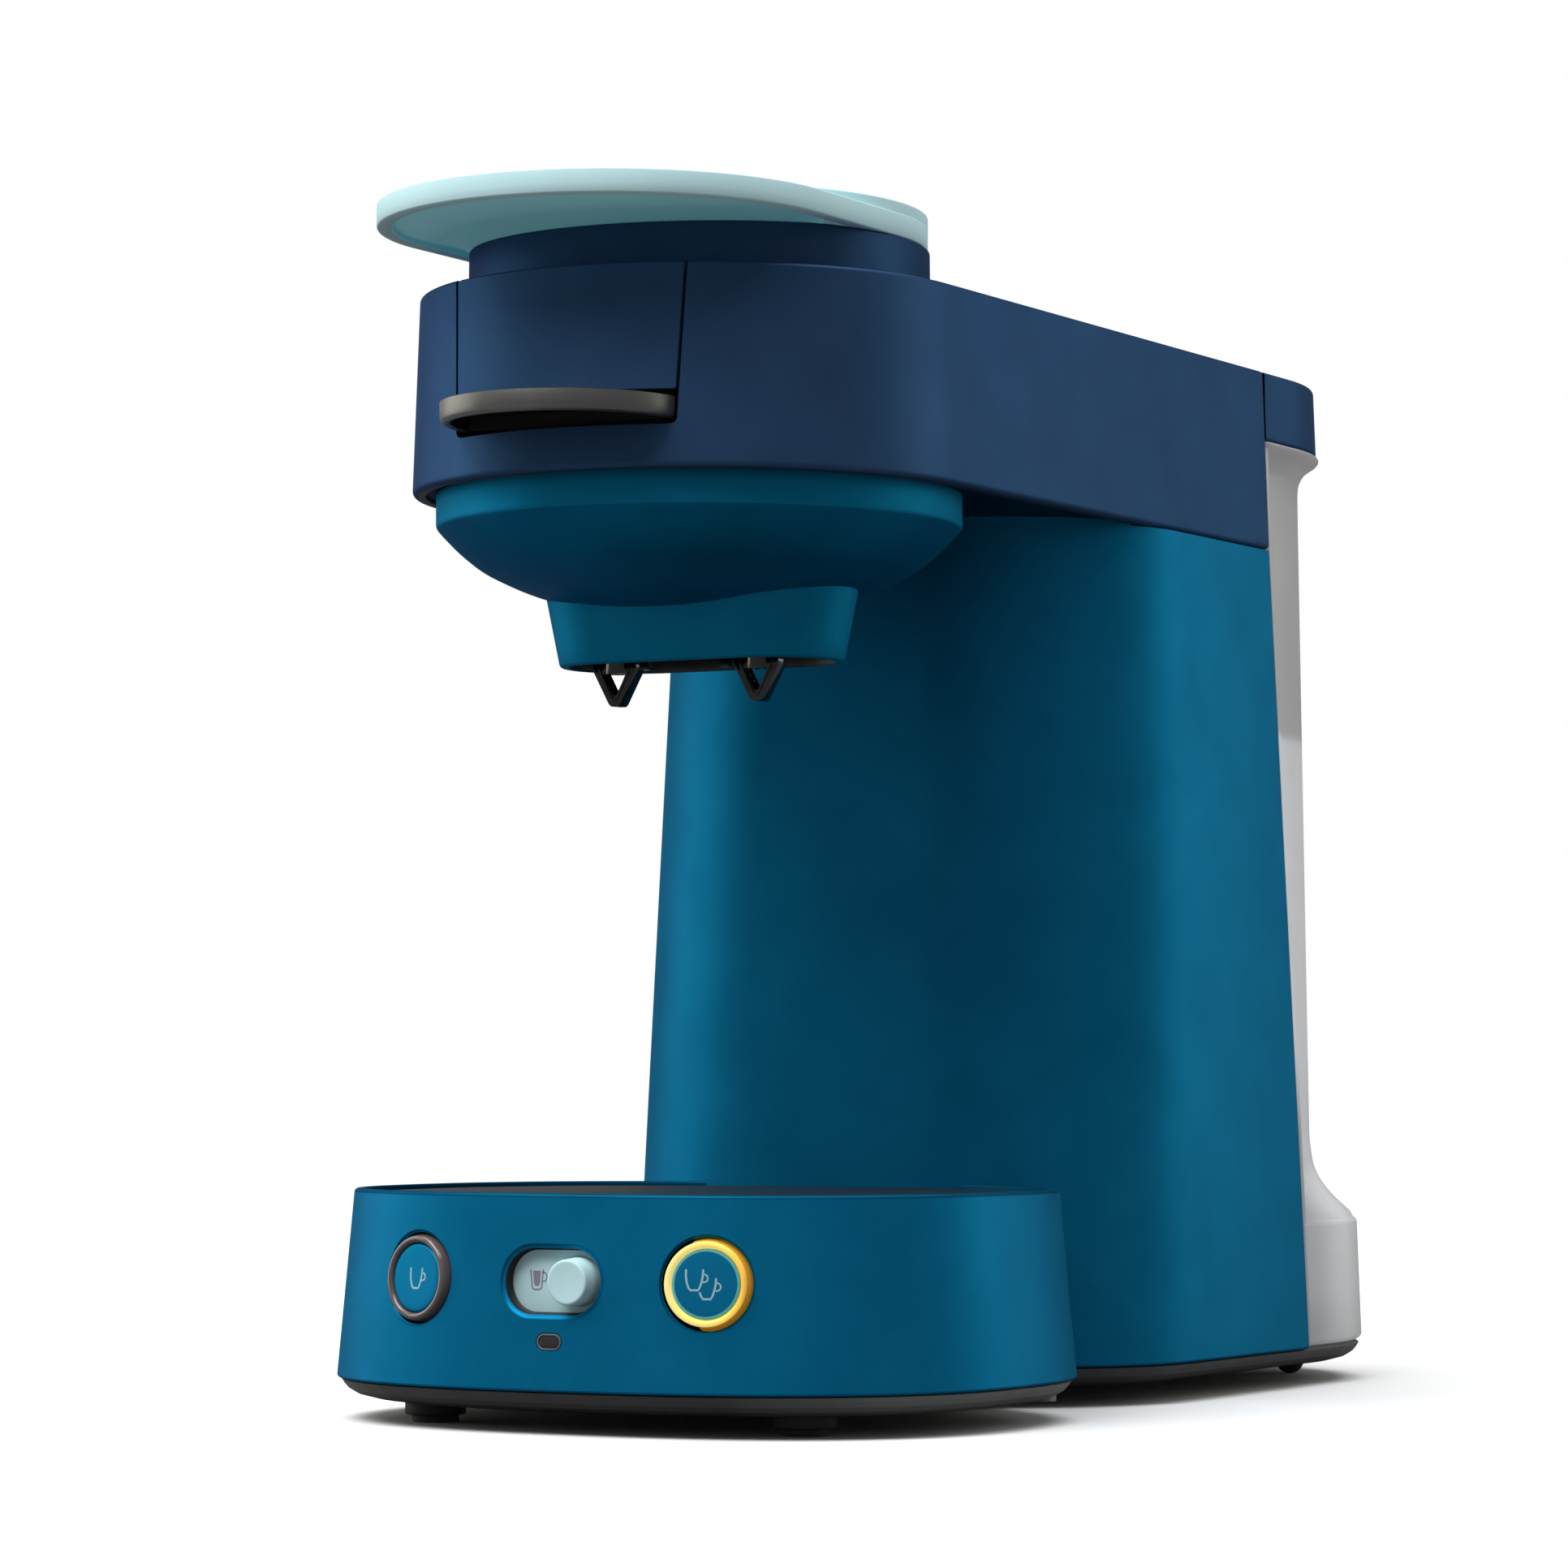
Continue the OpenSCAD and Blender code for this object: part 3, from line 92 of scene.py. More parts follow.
M = {
    "navy": plastic("navy_satin", (47, 74, 108), (53, 83, 119), rough=0.47, metal=0.65, spec=0.08, tint=(125, 140, 160)),
    "navy_dark": plastic("navy_collar", (43, 68, 99), (50, 77, 110), rough=0.48, metal=0.65, spec=0.08, tint=(115, 130, 150)),
    "teal": plastic("teal_satin", (8, 107, 148), (16, 118, 161), rough=0.45, metal=0.65, spec=0.06, tint=(60, 160, 180)),
    # a slightly darker copy of the teal for the column, which a ramp further down darkens more: painted shade
    "teal_col": plastic("teal_satin_column_painted_shade", (10, 104, 143), (18, 115, 156), rough=0.46, metal=0.65, spec=0.06, tint=(60, 160, 180)),
    # a darker copy of the teal for the rim round the top of the drum: painted shade
    "rim": plastic("teal_satin_rim_painted_shade", (4, 72, 100), (8, 82, 112), rough=0.5, metal=0.65, spec=0.04, tint=(40, 130, 160)),
    "teal_bowl": plastic("teal_bowl_satin", (11, 118, 156), (19, 129, 169), rough=0.58, metal=0.65, spec=0.06, tint=(60, 160, 185)),
    # a darker copy of the bowl's teal for its curved underside: painted shade
    "bowl_low": plastic("teal_bowl_below_painted_shade", (3, 98, 136), (8, 109, 149), rough=0.46, metal=0.65, spec=0.04, tint=(20, 130, 170)),
    # a darker copy of the teal for the head's underside: painted shade
    "under": plastic("teal_underside_painted_shade", (2, 48, 68), (6, 60, 82), rough=0.5, metal=0.6, spec=0.04, tint=(20, 120, 160)),
    "aqua": plastic("aqua_satin", (199, 235, 240), (206, 242, 247), rough=0.6, bump=0.08, spec=0.1),
    # a lighter copy of the teal for the button faces: painted light
    "cap": plastic("teal_cap_painted_light", (14, 120, 164), (22, 130, 176), rough=0.42, metal=0.65, spec=0.08, tint=(60, 160, 185)),
    # a glowing copy of the aqua for the lever's underside: painted light, as it is no lamp
    "aqua_low": plastic("aqua_below_painted_glow", (172, 222, 229), (182, 230, 237), rough=0.55, bump=0.08, spec=0.1,
                        emit=(31, 77, 82), emit_strength=0.8),
    # a darker copy of the aqua for the lever's top faces: painted shade
    "aqua_top": plastic("aqua_satin_top_painted_shade", (146, 188, 195), (154, 196, 203), rough=0.55, bump=0.08, spec=0.1),
    "grip": plastic("grip_satin_metal", (108, 108, 105), (126, 126, 122), rough=0.38, metal=0.85, grain=3200),
    # the frosted wall glows faintly: painted light, as the tank is no lamp
    "frost": plastic("tank_frosted_painted_glow", (222, 223, 226), (236, 237, 240), rough=0.38, trans=0.35, bump=0.05, ior=1.46,
                     emit=(200, 202, 210), emit_strength=0.1),
    "water": plastic("tank_water", (226, 230, 236), (236, 239, 243), rough=0.2, bump=0.0, trans=0.6, mottle=25, ior=1.33),
    "skirt": plastic("skirt_grey", (66, 66, 66), (82, 82, 82), rough=0.4, grain=3200, spec=0.7),
    # a lighter copy of the skirt grey, lit and shaded by the painted ramps further down
    "skirt_lit": plastic("skirt_grey_wall_painted_light", (124, 124, 123), (140, 140, 139), rough=0.4, grain=3200),
    "black": plastic("black_matt", (13, 13, 14), (22, 22, 23), rough=0.45),
    # black for the walls inside the drum's holes, and painted shade in the gaps round the lid panel, inside the head's
    # lower edge, on the grip's top edge and hollow, on the left of the lit ring's slope and on the lining behind the
    # lid
    "gap": plastic("black_inserts_and_painted_gap_shade", (4, 5, 7), (8, 9, 12), rough=0.6),
    "gloss": plastic("black_gloss", (10, 10, 11), (17, 17, 18), rough=0.16, coat=0.4, bump=0.03),
    "rubber": plastic("foot_rubber_black", (50, 50, 50), (62, 62, 62), rough=0.6, grain=2200, bump=0.2),
    "steel": plastic("brushed_steel", (165, 168, 172), (190, 193, 196), rough=0.3, metal=1.0, grain=900),
    "boiler": plastic("boiler_alloy", (158, 160, 164), (178, 181, 184), rough=0.42, metal=1.0, grain=1200),
    "hose": plastic("hose_silicone_clear", (196, 200, 202), (216, 219, 220), rough=0.4, trans=0.15),
    "board": plastic("circuit_green", (22, 74, 44), (32, 100, 60), rough=0.4, grain=700),
    "white": plastic("white_moulded", (214, 216, 218), (228, 230, 231), rough=0.4),
    "ring_dark": plastic("ring_brown_gloss", (82, 70, 68), (102, 88, 86), rough=0.2, coat=0.4, bump=0.02),
    "ring_lit": plastic("ring_lit_yellow", (255, 206, 84), (255, 224, 128), rough=0.3, bump=0.0,
                        emit=(255, 208, 84), emit_strength=0.75),
    "ring_amber": plastic("ring_lit_amber", (190, 136, 36), (206, 156, 58), rough=0.3, bump=0.0,
                          emit=(206, 140, 30), emit_strength=0.3),
    # painted light: a pale glow on the edge of the second button's face, where the lit ring shines on it
    "glow": plastic("ring_glow_pale", (70, 160, 172), (98, 176, 176), rough=0.35, bump=0.0,
                    emit=(90, 165, 165), emit_strength=0.12),
    "icon": plastic("icon_pale", (150, 186, 196), (164, 198, 206), rough=0.5, bump=0.02),
    "icon_mauve": plastic("icon_mauve", (132, 124, 138), (146, 137, 150), rough=0.5, bump=0.02),
    "lens": plastic("lens_smoked", (36, 35, 38), (50, 48, 51), rough=0.22, coat=0.3, bump=0.02),
    "lens_rim": plastic("lens_rim_grey", (92, 96, 104), (112, 116, 124), rough=0.3, bump=0.02),
}


def shade_along(m, axis, lo, hi, stops, emission=False, below=None):
    """Multiplies the colour by a ramp along one axis of the object, in mm, everywhere or below a value along one axis.
    The ramps set with it paint shade and highlights into the colours, and with emission on, the colour of a glow as
    well.
    """
    nt = m.node_tree
    n, l = nt.nodes, nt.links
    p = n["Principled BSDF"]
    tc = n.new("ShaderNodeTexCoord"); sep = n.new("ShaderNodeSeparateXYZ"); mr = n.new("ShaderNodeMapRange")
    mr.inputs["From Min"].default_value = lo * .001; mr.inputs["From Max"].default_value = hi * .001
    l.new(tc.outputs["Object"], sep.inputs["Vector"]); l.new(sep.outputs[axis], mr.inputs["Value"])
    r = n.new("ShaderNodeValToRGB")
    for i, (pos, c) in enumerate(stops):
        e = r.color_ramp.elements[i] if i < 2 else r.color_ramp.elements.new(pos)
        e.position = pos; e.color = lin(c)
    l.new(mr.outputs["Result"], r.inputs["Fac"])
    mx = n.new("ShaderNodeMix"); mx.data_type = "RGBA"; mx.blend_type = "MULTIPLY"; mx.inputs[0].default_value = 1.0
    if below:
        fade = n.new("ShaderNodeMapRange")
        fade.inputs["From Min"].default_value = below[0] * .001; fade.inputs["From Max"].default_value = below[1] * .001
        fade.inputs["To Min"].default_value = 1.0; fade.inputs["To Max"].default_value = 0.0
        l.new(sep.outputs[below[2]], fade.inputs["Value"]); l.new(fade.outputs["Result"], mx.inputs[0])
    l.new(p.inputs["Base Color"].links[0].from_socket, mx.inputs[6]); l.new(r.outputs["Color"], mx.inputs[7])
    l.new(mx.outputs[2], p.inputs["Base Color"])
    if emission:
        l.new(r.outputs["Color"], p.inputs["Emission Color"])


# painted on the tank wall: a water line at 142 to 144 mm up, darker above it, and the same ramp colours the wall's
# painted glow
shade_along(M["frost"], 2, 30, 230, [(0.0, (255, 255, 255)), (1.0, (209, 208, 208)), (.561, (252, 252, 253)), (.572, (207, 206, 206))], True)
# painted shade: the middle of the column's front is darker low down, fading out between 45 and 120 mm up
shade_along(M["teal_col"], 0, -60, 60, [(0.0, (255, 255, 255)), (1.0, (255, 255, 255)), (.25, (255, 255, 255)), (.45, (226, 230, 236)), (.75, (226, 230, 236)), (.92, (255, 255, 255))], below=(45, 120, 2))
# painted shade and highlight on the tank's lower part: darker at its front, a light band, darker again towards the
# back, fading out between 56 and 74 mm up
shade_along(M["frost"], 1, 70, 130, [(0.0, (150, 153, 166)), (1.0, (196, 196, 198)), (.07, (158, 161, 173)), (.22, (182, 184, 190)), (.42, (240, 240, 241)), (.52, (250, 250, 250)), (.84, (206, 206, 208))], below=(56, 74, 2))
# painted shade: the aqua parts are darker towards their left
shade_along(M["aqua"], 0, -50, 50, [(0.0, (224, 224, 224)), (1.0, (255, 255, 255)), (.5, (243, 243, 243))])
# painted highlight and shade on the skirt: its front right is lit, its front left darker, and it darkens towards the
# back
shade_along(M["skirt_lit"], 0, -75, 75, [(0.0, (154, 154, 155)), (1.0, (255, 255, 253)), (.72, (154, 154, 155)), (.9, (250, 250, 249))], below=(-30, -22, 1))
shade_along(M["skirt_lit"], 1, -30, -22, [(0.0, (255, 255, 255)), (1.0, (178, 180, 182))])
shade_along(M["ring_lit"], 0, 23.6, 41.2, [(0.0, (214, 206, 160)), (1.0, (150, 112, 42)), (.3, (232, 216, 132)), (.72, (234, 208, 110)), (.88, (220, 180, 80))], True)


# -------------------------------------------------------------- mesh building
class Build:
    """Collects vertices in mm, measured in Y from the head's axis, with a normal where one is known."""

    def __init__(self):
        self.v, self.n, self.f, self.m = [], [], [], []

    def add(self, p, n=None):
        self.v.append(tuple(p)); self.n.append(tuple(n) if n is not None else (0, 0, 0))
        return len(self.v) - 1

    def ring(self, pts, norms=None):
        return [self.add(p, norms[i] if norms else None) for i, p in enumerate(pts)]

    def strip(self, a, b, closed=True, mat=0, flip=False):
        k = len(a)
        for i in range(k if closed else k - 1):
            j = (i + 1) % k
            q = (a[i], a[j], b[j], b[i])
            self.face(q[::-1] if flip else q, mat)

    def face(self, q, mat=0):
        q = [x for i, x in enumerate(q) if x != q[i - 1]]
        if len(set(q)) > 2:
            self.f.append(tuple(q)); self.m.append(mat)

    def loft(self, loops, closed=True, mats=None, flip=False, cap0=False, cap1=False):
        rings = [self.ring(l) if not isinstance(l[0], int) else l for l in loops]
        for i in range(len(rings) - 1):
            self.strip(rings[i], rings[i + 1], closed, mats[i] if mats else 0, flip)
        if cap0:
            self.face(rings[0] if flip else rings[0][::-1], mats[0] if mats else 0)
        if cap1:
            self.face(rings[-1][::-1] if flip else rings[-1], mats[-1] if mats else 0)
        return rings

    def done(self, name, body, mats, replaces=(), sharp=38, fix=False, weld=0.0):
        me = bpy.data.meshes.new(name)
        me.from_pydata([(x * .001, (y - MID) * .001, z * .001) for x, y, z in self.v], [], self.f)
        for mm in (mats if isinstance(mats, (list, tuple)) else [mats]):
            me.materials.append(M[mm])
        me.polygons.foreach_set("material_index", self.m)
        if fix or weld:
            bm = bmesh.new(); bm.from_mesh(me)
            if weld:
                bmesh.ops.remove_doubles(bm, verts=bm.verts, dist=weld * .001)
            if fix:
                bmesh.ops.recalc_face_normals(bm, faces=bm.faces)
            bm.to_mesh(me); bm.free()
        me.shade_smooth()
        me.set_sharp_from_angle(angle=math.radians(sharp))
        if any(n != (0, 0, 0) for n in self.n) and not weld:
            me.normals_split_custom_set_from_vertices(
                [Vector(n).normalized() if n != (0, 0, 0) else Vector((0, 0, 0)) for n in self.n])
        return place(bpy.data.objects.new(name, me), body, replaces)


def place(ob, body, replaces=()):
    if ob.name not in bpy.context.scene.collection.objects:
        bpy.context.scene.collection.objects.link(ob)
    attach(ob, body)
    if replaces:
        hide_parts(*([replaces] if isinstance(replaces, str) else replaces))
    return ob


def arcpts(cx, cy, r, a0, a1, n):
    return [(cx + r * math.cos(math.radians(a0 + (a1 - a0) * i / n)), cy + r * math.sin(math.radians(a0 + (a1 - a0) * i / n)))
            for i in range(n + 1)]


def at_z(pts, z):
    return [(p[0], p[1], z) for p in pts]


def fillet(z, d, r, quarter, n=5):
    """Profile points (height, inset) round a corner. quarter 0: bottom outer edge going up, 1: top outer edge."""
    out = []
    for i in range(n + 1):
        a = pi / 2 * i / n
        if quarter == 0:
            out.append((z + r - r * math.cos(a), d + r - r * math.sin(a)))
        else:
            out.append((z - r + r * math.sin(a), d + r - r * math.cos(a)))
    return out


def smooth(rows, n):
    """Catmull-Rom through rows of numbers, n steps between each pair."""
    out = []
    k = len(rows)
    for i in range(k - 1):
        a, b, c, d = rows[max(i - 1, 0)], rows[i], rows[i + 1], rows[min(i + 2, k - 1)]
        for j in range(n):
            t = j / n
            out.append(tuple((2 * q + (r - p) * t + (2 * p - 5 * q + 4 * r - s) * t * t + (3 * q - p - 3 * r + s) * t ** 3) / 2
                             for p, q, r, s in zip(a, b, c, d)))
    return out + [tuple(rows[-1])]


def bevelled(node, mat, body, width=0.25, seg=2, angle=32, sharp=40):
    """A copy of a CAD node's mesh with its hard edges rounded."""
    me = nodes[node].data.copy()
    me.name = node + "_look"
    bm = bmesh.new(); bm.from_mesh(me)
    bmesh.ops.remove_doubles(bm, verts=bm.verts, dist=2e-6)
    bmesh.ops.dissolve_degenerate(bm, dist=1e-6, edges=bm.edges)
    bmesh.ops.dissolve_limit(bm, angle_limit=math.radians(0.6), verts=bm.verts, edges=bm.edges)
    es = [e for e in bm.edges if len(e.link_faces) == 2 and e.calc_face_angle(0) > math.radians(angle)]
    if width:
        bmesh.ops.bevel(bm, geom=es, offset=width * .001, offset_type="OFFSET", segments=seg, profile=0.5,
                        affect="EDGES", clamp_overlap=True)
    bm.to_mesh(me); bm.free()
    if me.has_custom_normals:
        me.attributes.remove(me.attributes["custom_normal"]) if "custom_normal" in me.attributes else None
    me.materials.clear(); me.materials.append(M[mat])
    me.polygons.foreach_set("material_index", [0] * len(me.polygons))
    me.shade_smooth()
    me.set_sharp_from_angle(angle=math.radians(sharp))
    ob = bpy.data.objects.new(node + "_look", me)
    return place(ob, body, node)


def inside(poly, x, y):
    c = False
    j = len(poly) - 1
    for i in range(len(poly)):
        if (poly[i][1] > y) != (poly[j][1] > y) and x < (poly[j][0] - poly[i][0]) * (y - poly[i][1]) / (poly[j][1] - poly[i][1]) + poly[i][0]:
            c = not c
        j = i
    return c


def near(poly, x, y, r):
    return any((px - x) ** 2 + (py - y) ** 2 < r * r for px, py in poly)


def skin(b, outer, holes, P, N, step, keep_inside=None, mat=0):
    """Triangulates a sheet over (x, z). outer: [(x, z, id)] round the edge, holes: lists of the same, cut away."""
    pts, ids, edges = [], [], []

    def push(x, z, i):
        pts.append(Vector((x, z))); ids.append(i)
        return len(pts) - 1
    for loop in [outer] + holes:
        k = [push(*q) for q in loop]
        edges += [(k[i], k[(i + 1) % len(k)]) for i in range(len(k))]
    polys = [[(q[0], q[1]) for q in h] for h in holes]
    edge_pts = [(q[0], q[1]) for q in outer]
    x0, x1 = min(q[0] for q in outer), max(q[0] for q in outer)
    z0, z1 = min(q[1] for q in outer), max(q[1] for q in outer)
    nx, nz = max(1, round((x1 - x0) / step)), max(1, round((z1 - z0) / step))
    for i in range(1, nx):
        for j in range(1, nz):
            x, z = x0 + (x1 - x0) * i / nx, z0 + (z1 - z0) * j / nz
            if keep_inside and (not inside(keep_inside, x, z) or near(keep_inside, x, z, step * .5)):
                continue
            if any(inside(h, x, z) or near(h, x, z, step * .55) for h in polys):
                continue
            push(x, z, None)
    v2, _, f2, src, _, _ = delaunay_2d_cdt(pts, edges, [], 0, 1e-7, True)
    out = []
    for k, v in enumerate(v2):
        got = [ids[s] for s in src[k] if ids[s] is not None]
        out.append(got[0] if got else b.add(P(v[0], v[1]), N(v[0], v[1])))
    for f in f2:
        cx = sum(v2[i][0] for i in f) / len(f); cz = sum(v2[i][1] for i in f) / len(f)
        if keep_inside and not inside(keep_inside, cx, cz):
            continue
        if any(inside(h, cx, cz) for h in polys):
            continue
        a, c, d = (Vector(b.v[out[i]]) for i in f[:3])
        nn = (c - a).cross(d - a)
        b.face([out[i] for i in (f if nn.dot(Vector(N(cx, cz))) > 0 else f[::-1])], mat)


# --------------------------------------------------------------- plan shapes
def half_w(z): return 58.2 + 0.0362 * (183.6 - z)
def col_front(z): return 60 - 0.0377 * (183.6 - z)
def col_rear(z): return 150.08 + 0.0303 * (183.6 - z)


def corner(p, a, c, r, n=4):
    """Rounds the corner at p between the directions towards a and c."""
    p, a, c = Vector(p), Vector(a), Vector(c)
    u, w = (a - p).normalized(), (c - p).normalized()
    out = []
    for i in range(n + 1):
        t = i / n
        q = p + u * r * (1 - t) ** 2 + w * r * t ** 2
        out.append((q.x, q.y))
    return out


def col_loop(z, d, n=36):
    h, f, rr = half_w(z), col_front(z), col_rear(z)
    a = arcpts(-(h - 41.5), f + 41.5, 41.5 - d, 180, 270, n)
    flat = [(-(h - 41.5) + 2 * (h - 41.5) * i / 4, f + d) for i in range(1, 4)]
    c = arcpts(h - 41.5, f + 41.5, 41.5 - d, 270, 360, n)
    rc = corner((h - d, rr - d), (h - d, 0), (0, rr - d), 1.0)
    lc = corner((-h + d, rr - d), (0, rr - d), (-h + d, 0), 1.0)
    return at_z(a + flat + c + rc + lc, z)


def drum_ab(z, d):
    return 72.95 - 3.36 * (z - 8.3) / 37.52 - d, 60.75 - 2.86 * (z - 8.3) / 37.52 - d


NP = 2.49
def drum_y(x, z, d=0.0):
    a, b = drum_ab(z, d)
    return 2.91 - b * max(0.0, 1 - (abs(x) / a) ** NP) ** (1 / NP)


def col_y(x, z):
    """Y of the column's front at x, or far back beside it."""
    h, f = half_w(z), col_front(z)
    x = abs(x)
    if x <= h - 41.5:
        return f
    if x >= h:
        return 999
    return f + 41.5 - math.sqrt(max(0, 41.5 ** 2 - (x - h + 41.5) ** 2))


XM = 48
MIDX = [-XM + 1.5 * i for i in range(65)]


def drum_side(z, d, n=54, bury=1.2):
    """Points of the drum's plan from x = 48 at the front round to where the wall runs into the column."""
    a, b = drum_ab(z, d)
    t0 = -math.acos((XM / a) ** (NP / 2))
    dense = []
    t = t0
    while t < pi / 2:
        c, s = math.cos(t), math.sin(t)
        x = a * abs(c) ** (2 / NP)
        y = 2.91 + b * math.copysign(abs(s) ** (2 / NP), s)
        dense.append((x, y))
        if y > col_y(x, z) + bury:
            break
        t += 0.004
    length = [0]
    for p, q in zip(dense, dense[1:]):
        length.append(length[-1] + math.hypot(q[0] - p[0], q[1] - p[1]))
    out, k = [], 0
    for i in range(n + 1):
        s = length[-1] * i / n
        while k < len(dense) - 2 and length[k + 1] < s:
            k += 1
        f = (s - length[k]) / max(1e-9, length[k + 1] - length[k])
        out.append((dense[k][0] + (dense[k + 1][0] - dense[k][0]) * f, dense[k][1] + (dense[k + 1][1] - dense[k][1]) * f))
    return out


def drum_loop(z, d):
    side = drum_side(z, d)
    left = [(-x, y) for x, y in side[::-1]]
    mid = [(x, drum_y(x, z, d)) for x in MIDX[1:-1]]
    return at_z(left + mid + side, z)


def loop_normals(make, z, d):
    lo, hi, p = make(z - .5, d), make(z + .5, d), make(z, d)
    out = []
    for i in range(len(p)):
        a, c = p[max(0, i - 1)], p[min(len(p) - 1, i + 1)]
        t = Vector(c) - Vector(a); up = Vector(hi[i]) - Vector(lo[i])
        out.append(tuple(t.cross(up).normalized()))
    return out


# ------------------------------------------------------------------ drum
def drum_n(x, z):
    e = .05
    yx = (drum_y(x + e, z) - drum_y(x - e, z)) / (2 * e)
    yz = (drum_y(x, z + e) - drum_y(x, z - e)) / (2 * e)
    return Vector((yx, -1, yz)).normalized()


def stadium_pts(half, r, off, n=24):
    c = half - r
    return ([(c + (r + off) * math.cos(t), (r + off) * math.sin(t)) for t in [-pi / 2 + pi * i / n for i in range(n + 1)]] +
            [(-c + (r + off) * math.cos(t), (r + off) * math.sin(t)) for t in [pi / 2 + pi * i / n for i in range(n + 1)]])


def circle_pts(r, off, n=96):
    return [((r + off) * math.cos(2 * pi * i / n), (r + off) * math.sin(2 * pi * i / n)) for i in range(n)]


def button_frame(s):
    R = Matrix.Rotation(math.radians(s * 15.7), 3, "Z") @ Matrix.Rotation(math.radians(-4.4), 3, "X")
    return Vector((s * 32.3, -52.79, 29.15)), R @ Vector((1, 0, 0)), R @ Vector((0, 0, 1)), R @ Vector((0, -1, 0))


def on_drum(O, U, V, D, u, v, deep=0.0):
    t = 0.0
    for _ in range(14):
        p = O + U * u + V * v + D * t
        t += (p.y - drum_y(p.x, p.z)) / (-D.y)
    return O + U * u + V * v + D * (t - deep)


def plane_pt(O, U, V, D, u, v, dd):
    return O + U * u + V * v + D * dd


def hole(b, O, U, V, D, shape, prof, mats):
    """prof: ('s', offset, depth below the surface) or ('p', offset, height on the plane). Returns the skin's hole outline."""
    rings = []
    for kind, off, dep in prof:
        q = shape(off)
        pts = [on_drum(O, U, V, D, u, v, dep) if kind == "s" else plane_pt(O, U, V, D, u, v, dep) for u, v in q]
        rings.append(b.ring(pts, [drum_n(p[0], p[2]) for p in pts] if not rings else None))
    for i in range(len(rings) - 1):
        b.strip(rings[i], rings[i + 1], True, mats[i], flip=True)
    # the surface is seen from outside, so an outline that runs anticlockwise in (u, v) is anticlockwise in (x, z)
    return [(b.v[k][0], b.v[k][2], k) for k in rings[0]]


b = Build()
prof = [(8.3, 2.2)] + fillet(8.3, 0, .6, 0, 4)
low = [drum_loop(z, d) for z, d in prof]
Z0, Z1 = 10.4, 43.8
r_lo = [b.ring(l) for l in low[:-1]] + [b.ring(low[-1], loop_normals(drum_loop, 8.9, 0))]
r_z0 = b.ring(drum_loop(Z0, 0), loop_normals(drum_loop, Z0, 0))
r_z1 = b.ring(drum_loop(Z1, 0), loop_normals(drum_loop, Z1, 0))
r_top = b.ring(drum_loop(45.05, 0), loop_normals(drum_loop, 45.05, 0))
for p, q in zip(r_lo + [r_z0], r_lo[1:] + [r_z0]):
    if p is not q:
        b.strip(p, q, False)
NS = 54
for sl in (slice(0, NS + 1), slice(NS + 64, None)):
    b.strip(r_z0[sl], r_z1[sl], False)
b.strip(r_z1, r_top, False)
rim = [r_top]
for z, d in fillet(45.8, 0, .75, 1, 5)[1:]:
    rim.append(b.ring(drum_loop(z, d)))
for z, d in [(45.8, 1.45)] + [(45.8 - .45 + .45 * math.cos(a), 1.45 + .45 * math.sin(a)) for a in (pi / 6, pi / 3, pi / 2)] + [(41.0, 2.0)]:
    rim.append(b.ring(drum_loop(z, d)))
# the rim's rounded top and inner side take the darker teal, painted shade
for p, q in zip(rim, rim[1:]):
    b.strip(p, q, False, 2)
bot = [(MIDX[i], Z0, r_z0[NS + i]) for i in range(65)]
top = [(MIDX[i], Z1, r_z1[NS + i]) for i in range(65)]
f = .16
holes = []
for s in (-1, 1):
    O, U, V, D = button_frame(s)
    holes.append(hole(b, O, U, V, D, lambda off: circle_pts(9.2, off),
                      [("s", f, 0), ("s", f * .5, .03), ("s", f * .13, f * .5), ("s", 0, f), ("s", 0, .36), ("s", -.3, .38),
                       ("s", -.36, .44), ("s", -.38, .6), ("s", -.38, 1.2), ("s", -.38, 7)], [0, 0, 0, 0, 0, 0, 0, 1, 1]))
O, U, V, D = Vector((.25, -55, 29.15)), Vector((1, 0, 0)), Vector((0, 0, 1)), Vector((0, -1, 0))
holes.append(hole(b, O, U, V, D, lambda off: stadium_pts(11.35, 7.0, off),
                  [("s", f, 0), ("s", f * .5, .03), ("s", f * .13, f * .5), ("s", 0, f), ("s", 0, .34), ("s", -.62, .36),
                   ("s", -.72, .42), ("s", -.75, .6), ("s", -.75, .9), ("s", -.78, 2.35), ("s", -1.1, 2.36), ("s", -1.12, 2.6), ("s", .5, 2.62)],
                  [0, 0, 0, 0, 0, 0, 0, 1, 1, 1, 1, 1]))
O = Vector((.33, -55, 17.76))
holes.append(hole(b, O, U, V, D, lambda off: stadium_pts(2.78, 1.66, off),
                  [("s", .12, 0), ("s", .04, .04), ("s", 0, .12), ("s", 0, .5), ("s", 0, 3)], [0, 0, 1, 1]))
skin(b, bot + top[::-1], holes, lambda x, z: (x, drum_y(x, z), z), drum_n, 1.7)
# deck under the grid, with the tray's opening
ring_o = b.ring(drum_loop(41.0, 2.0))
deck = [(x * .86, 2.91 + (y - 2.91) * .8) for x, y, z in drum_loop(41.0, 2.0)]
b.strip(ring_o, b.ring(at_z(deck, 41.0)), False)
b.done("drum_wall", "frame", ["teal", "gap", "rim"], "drum_shell")

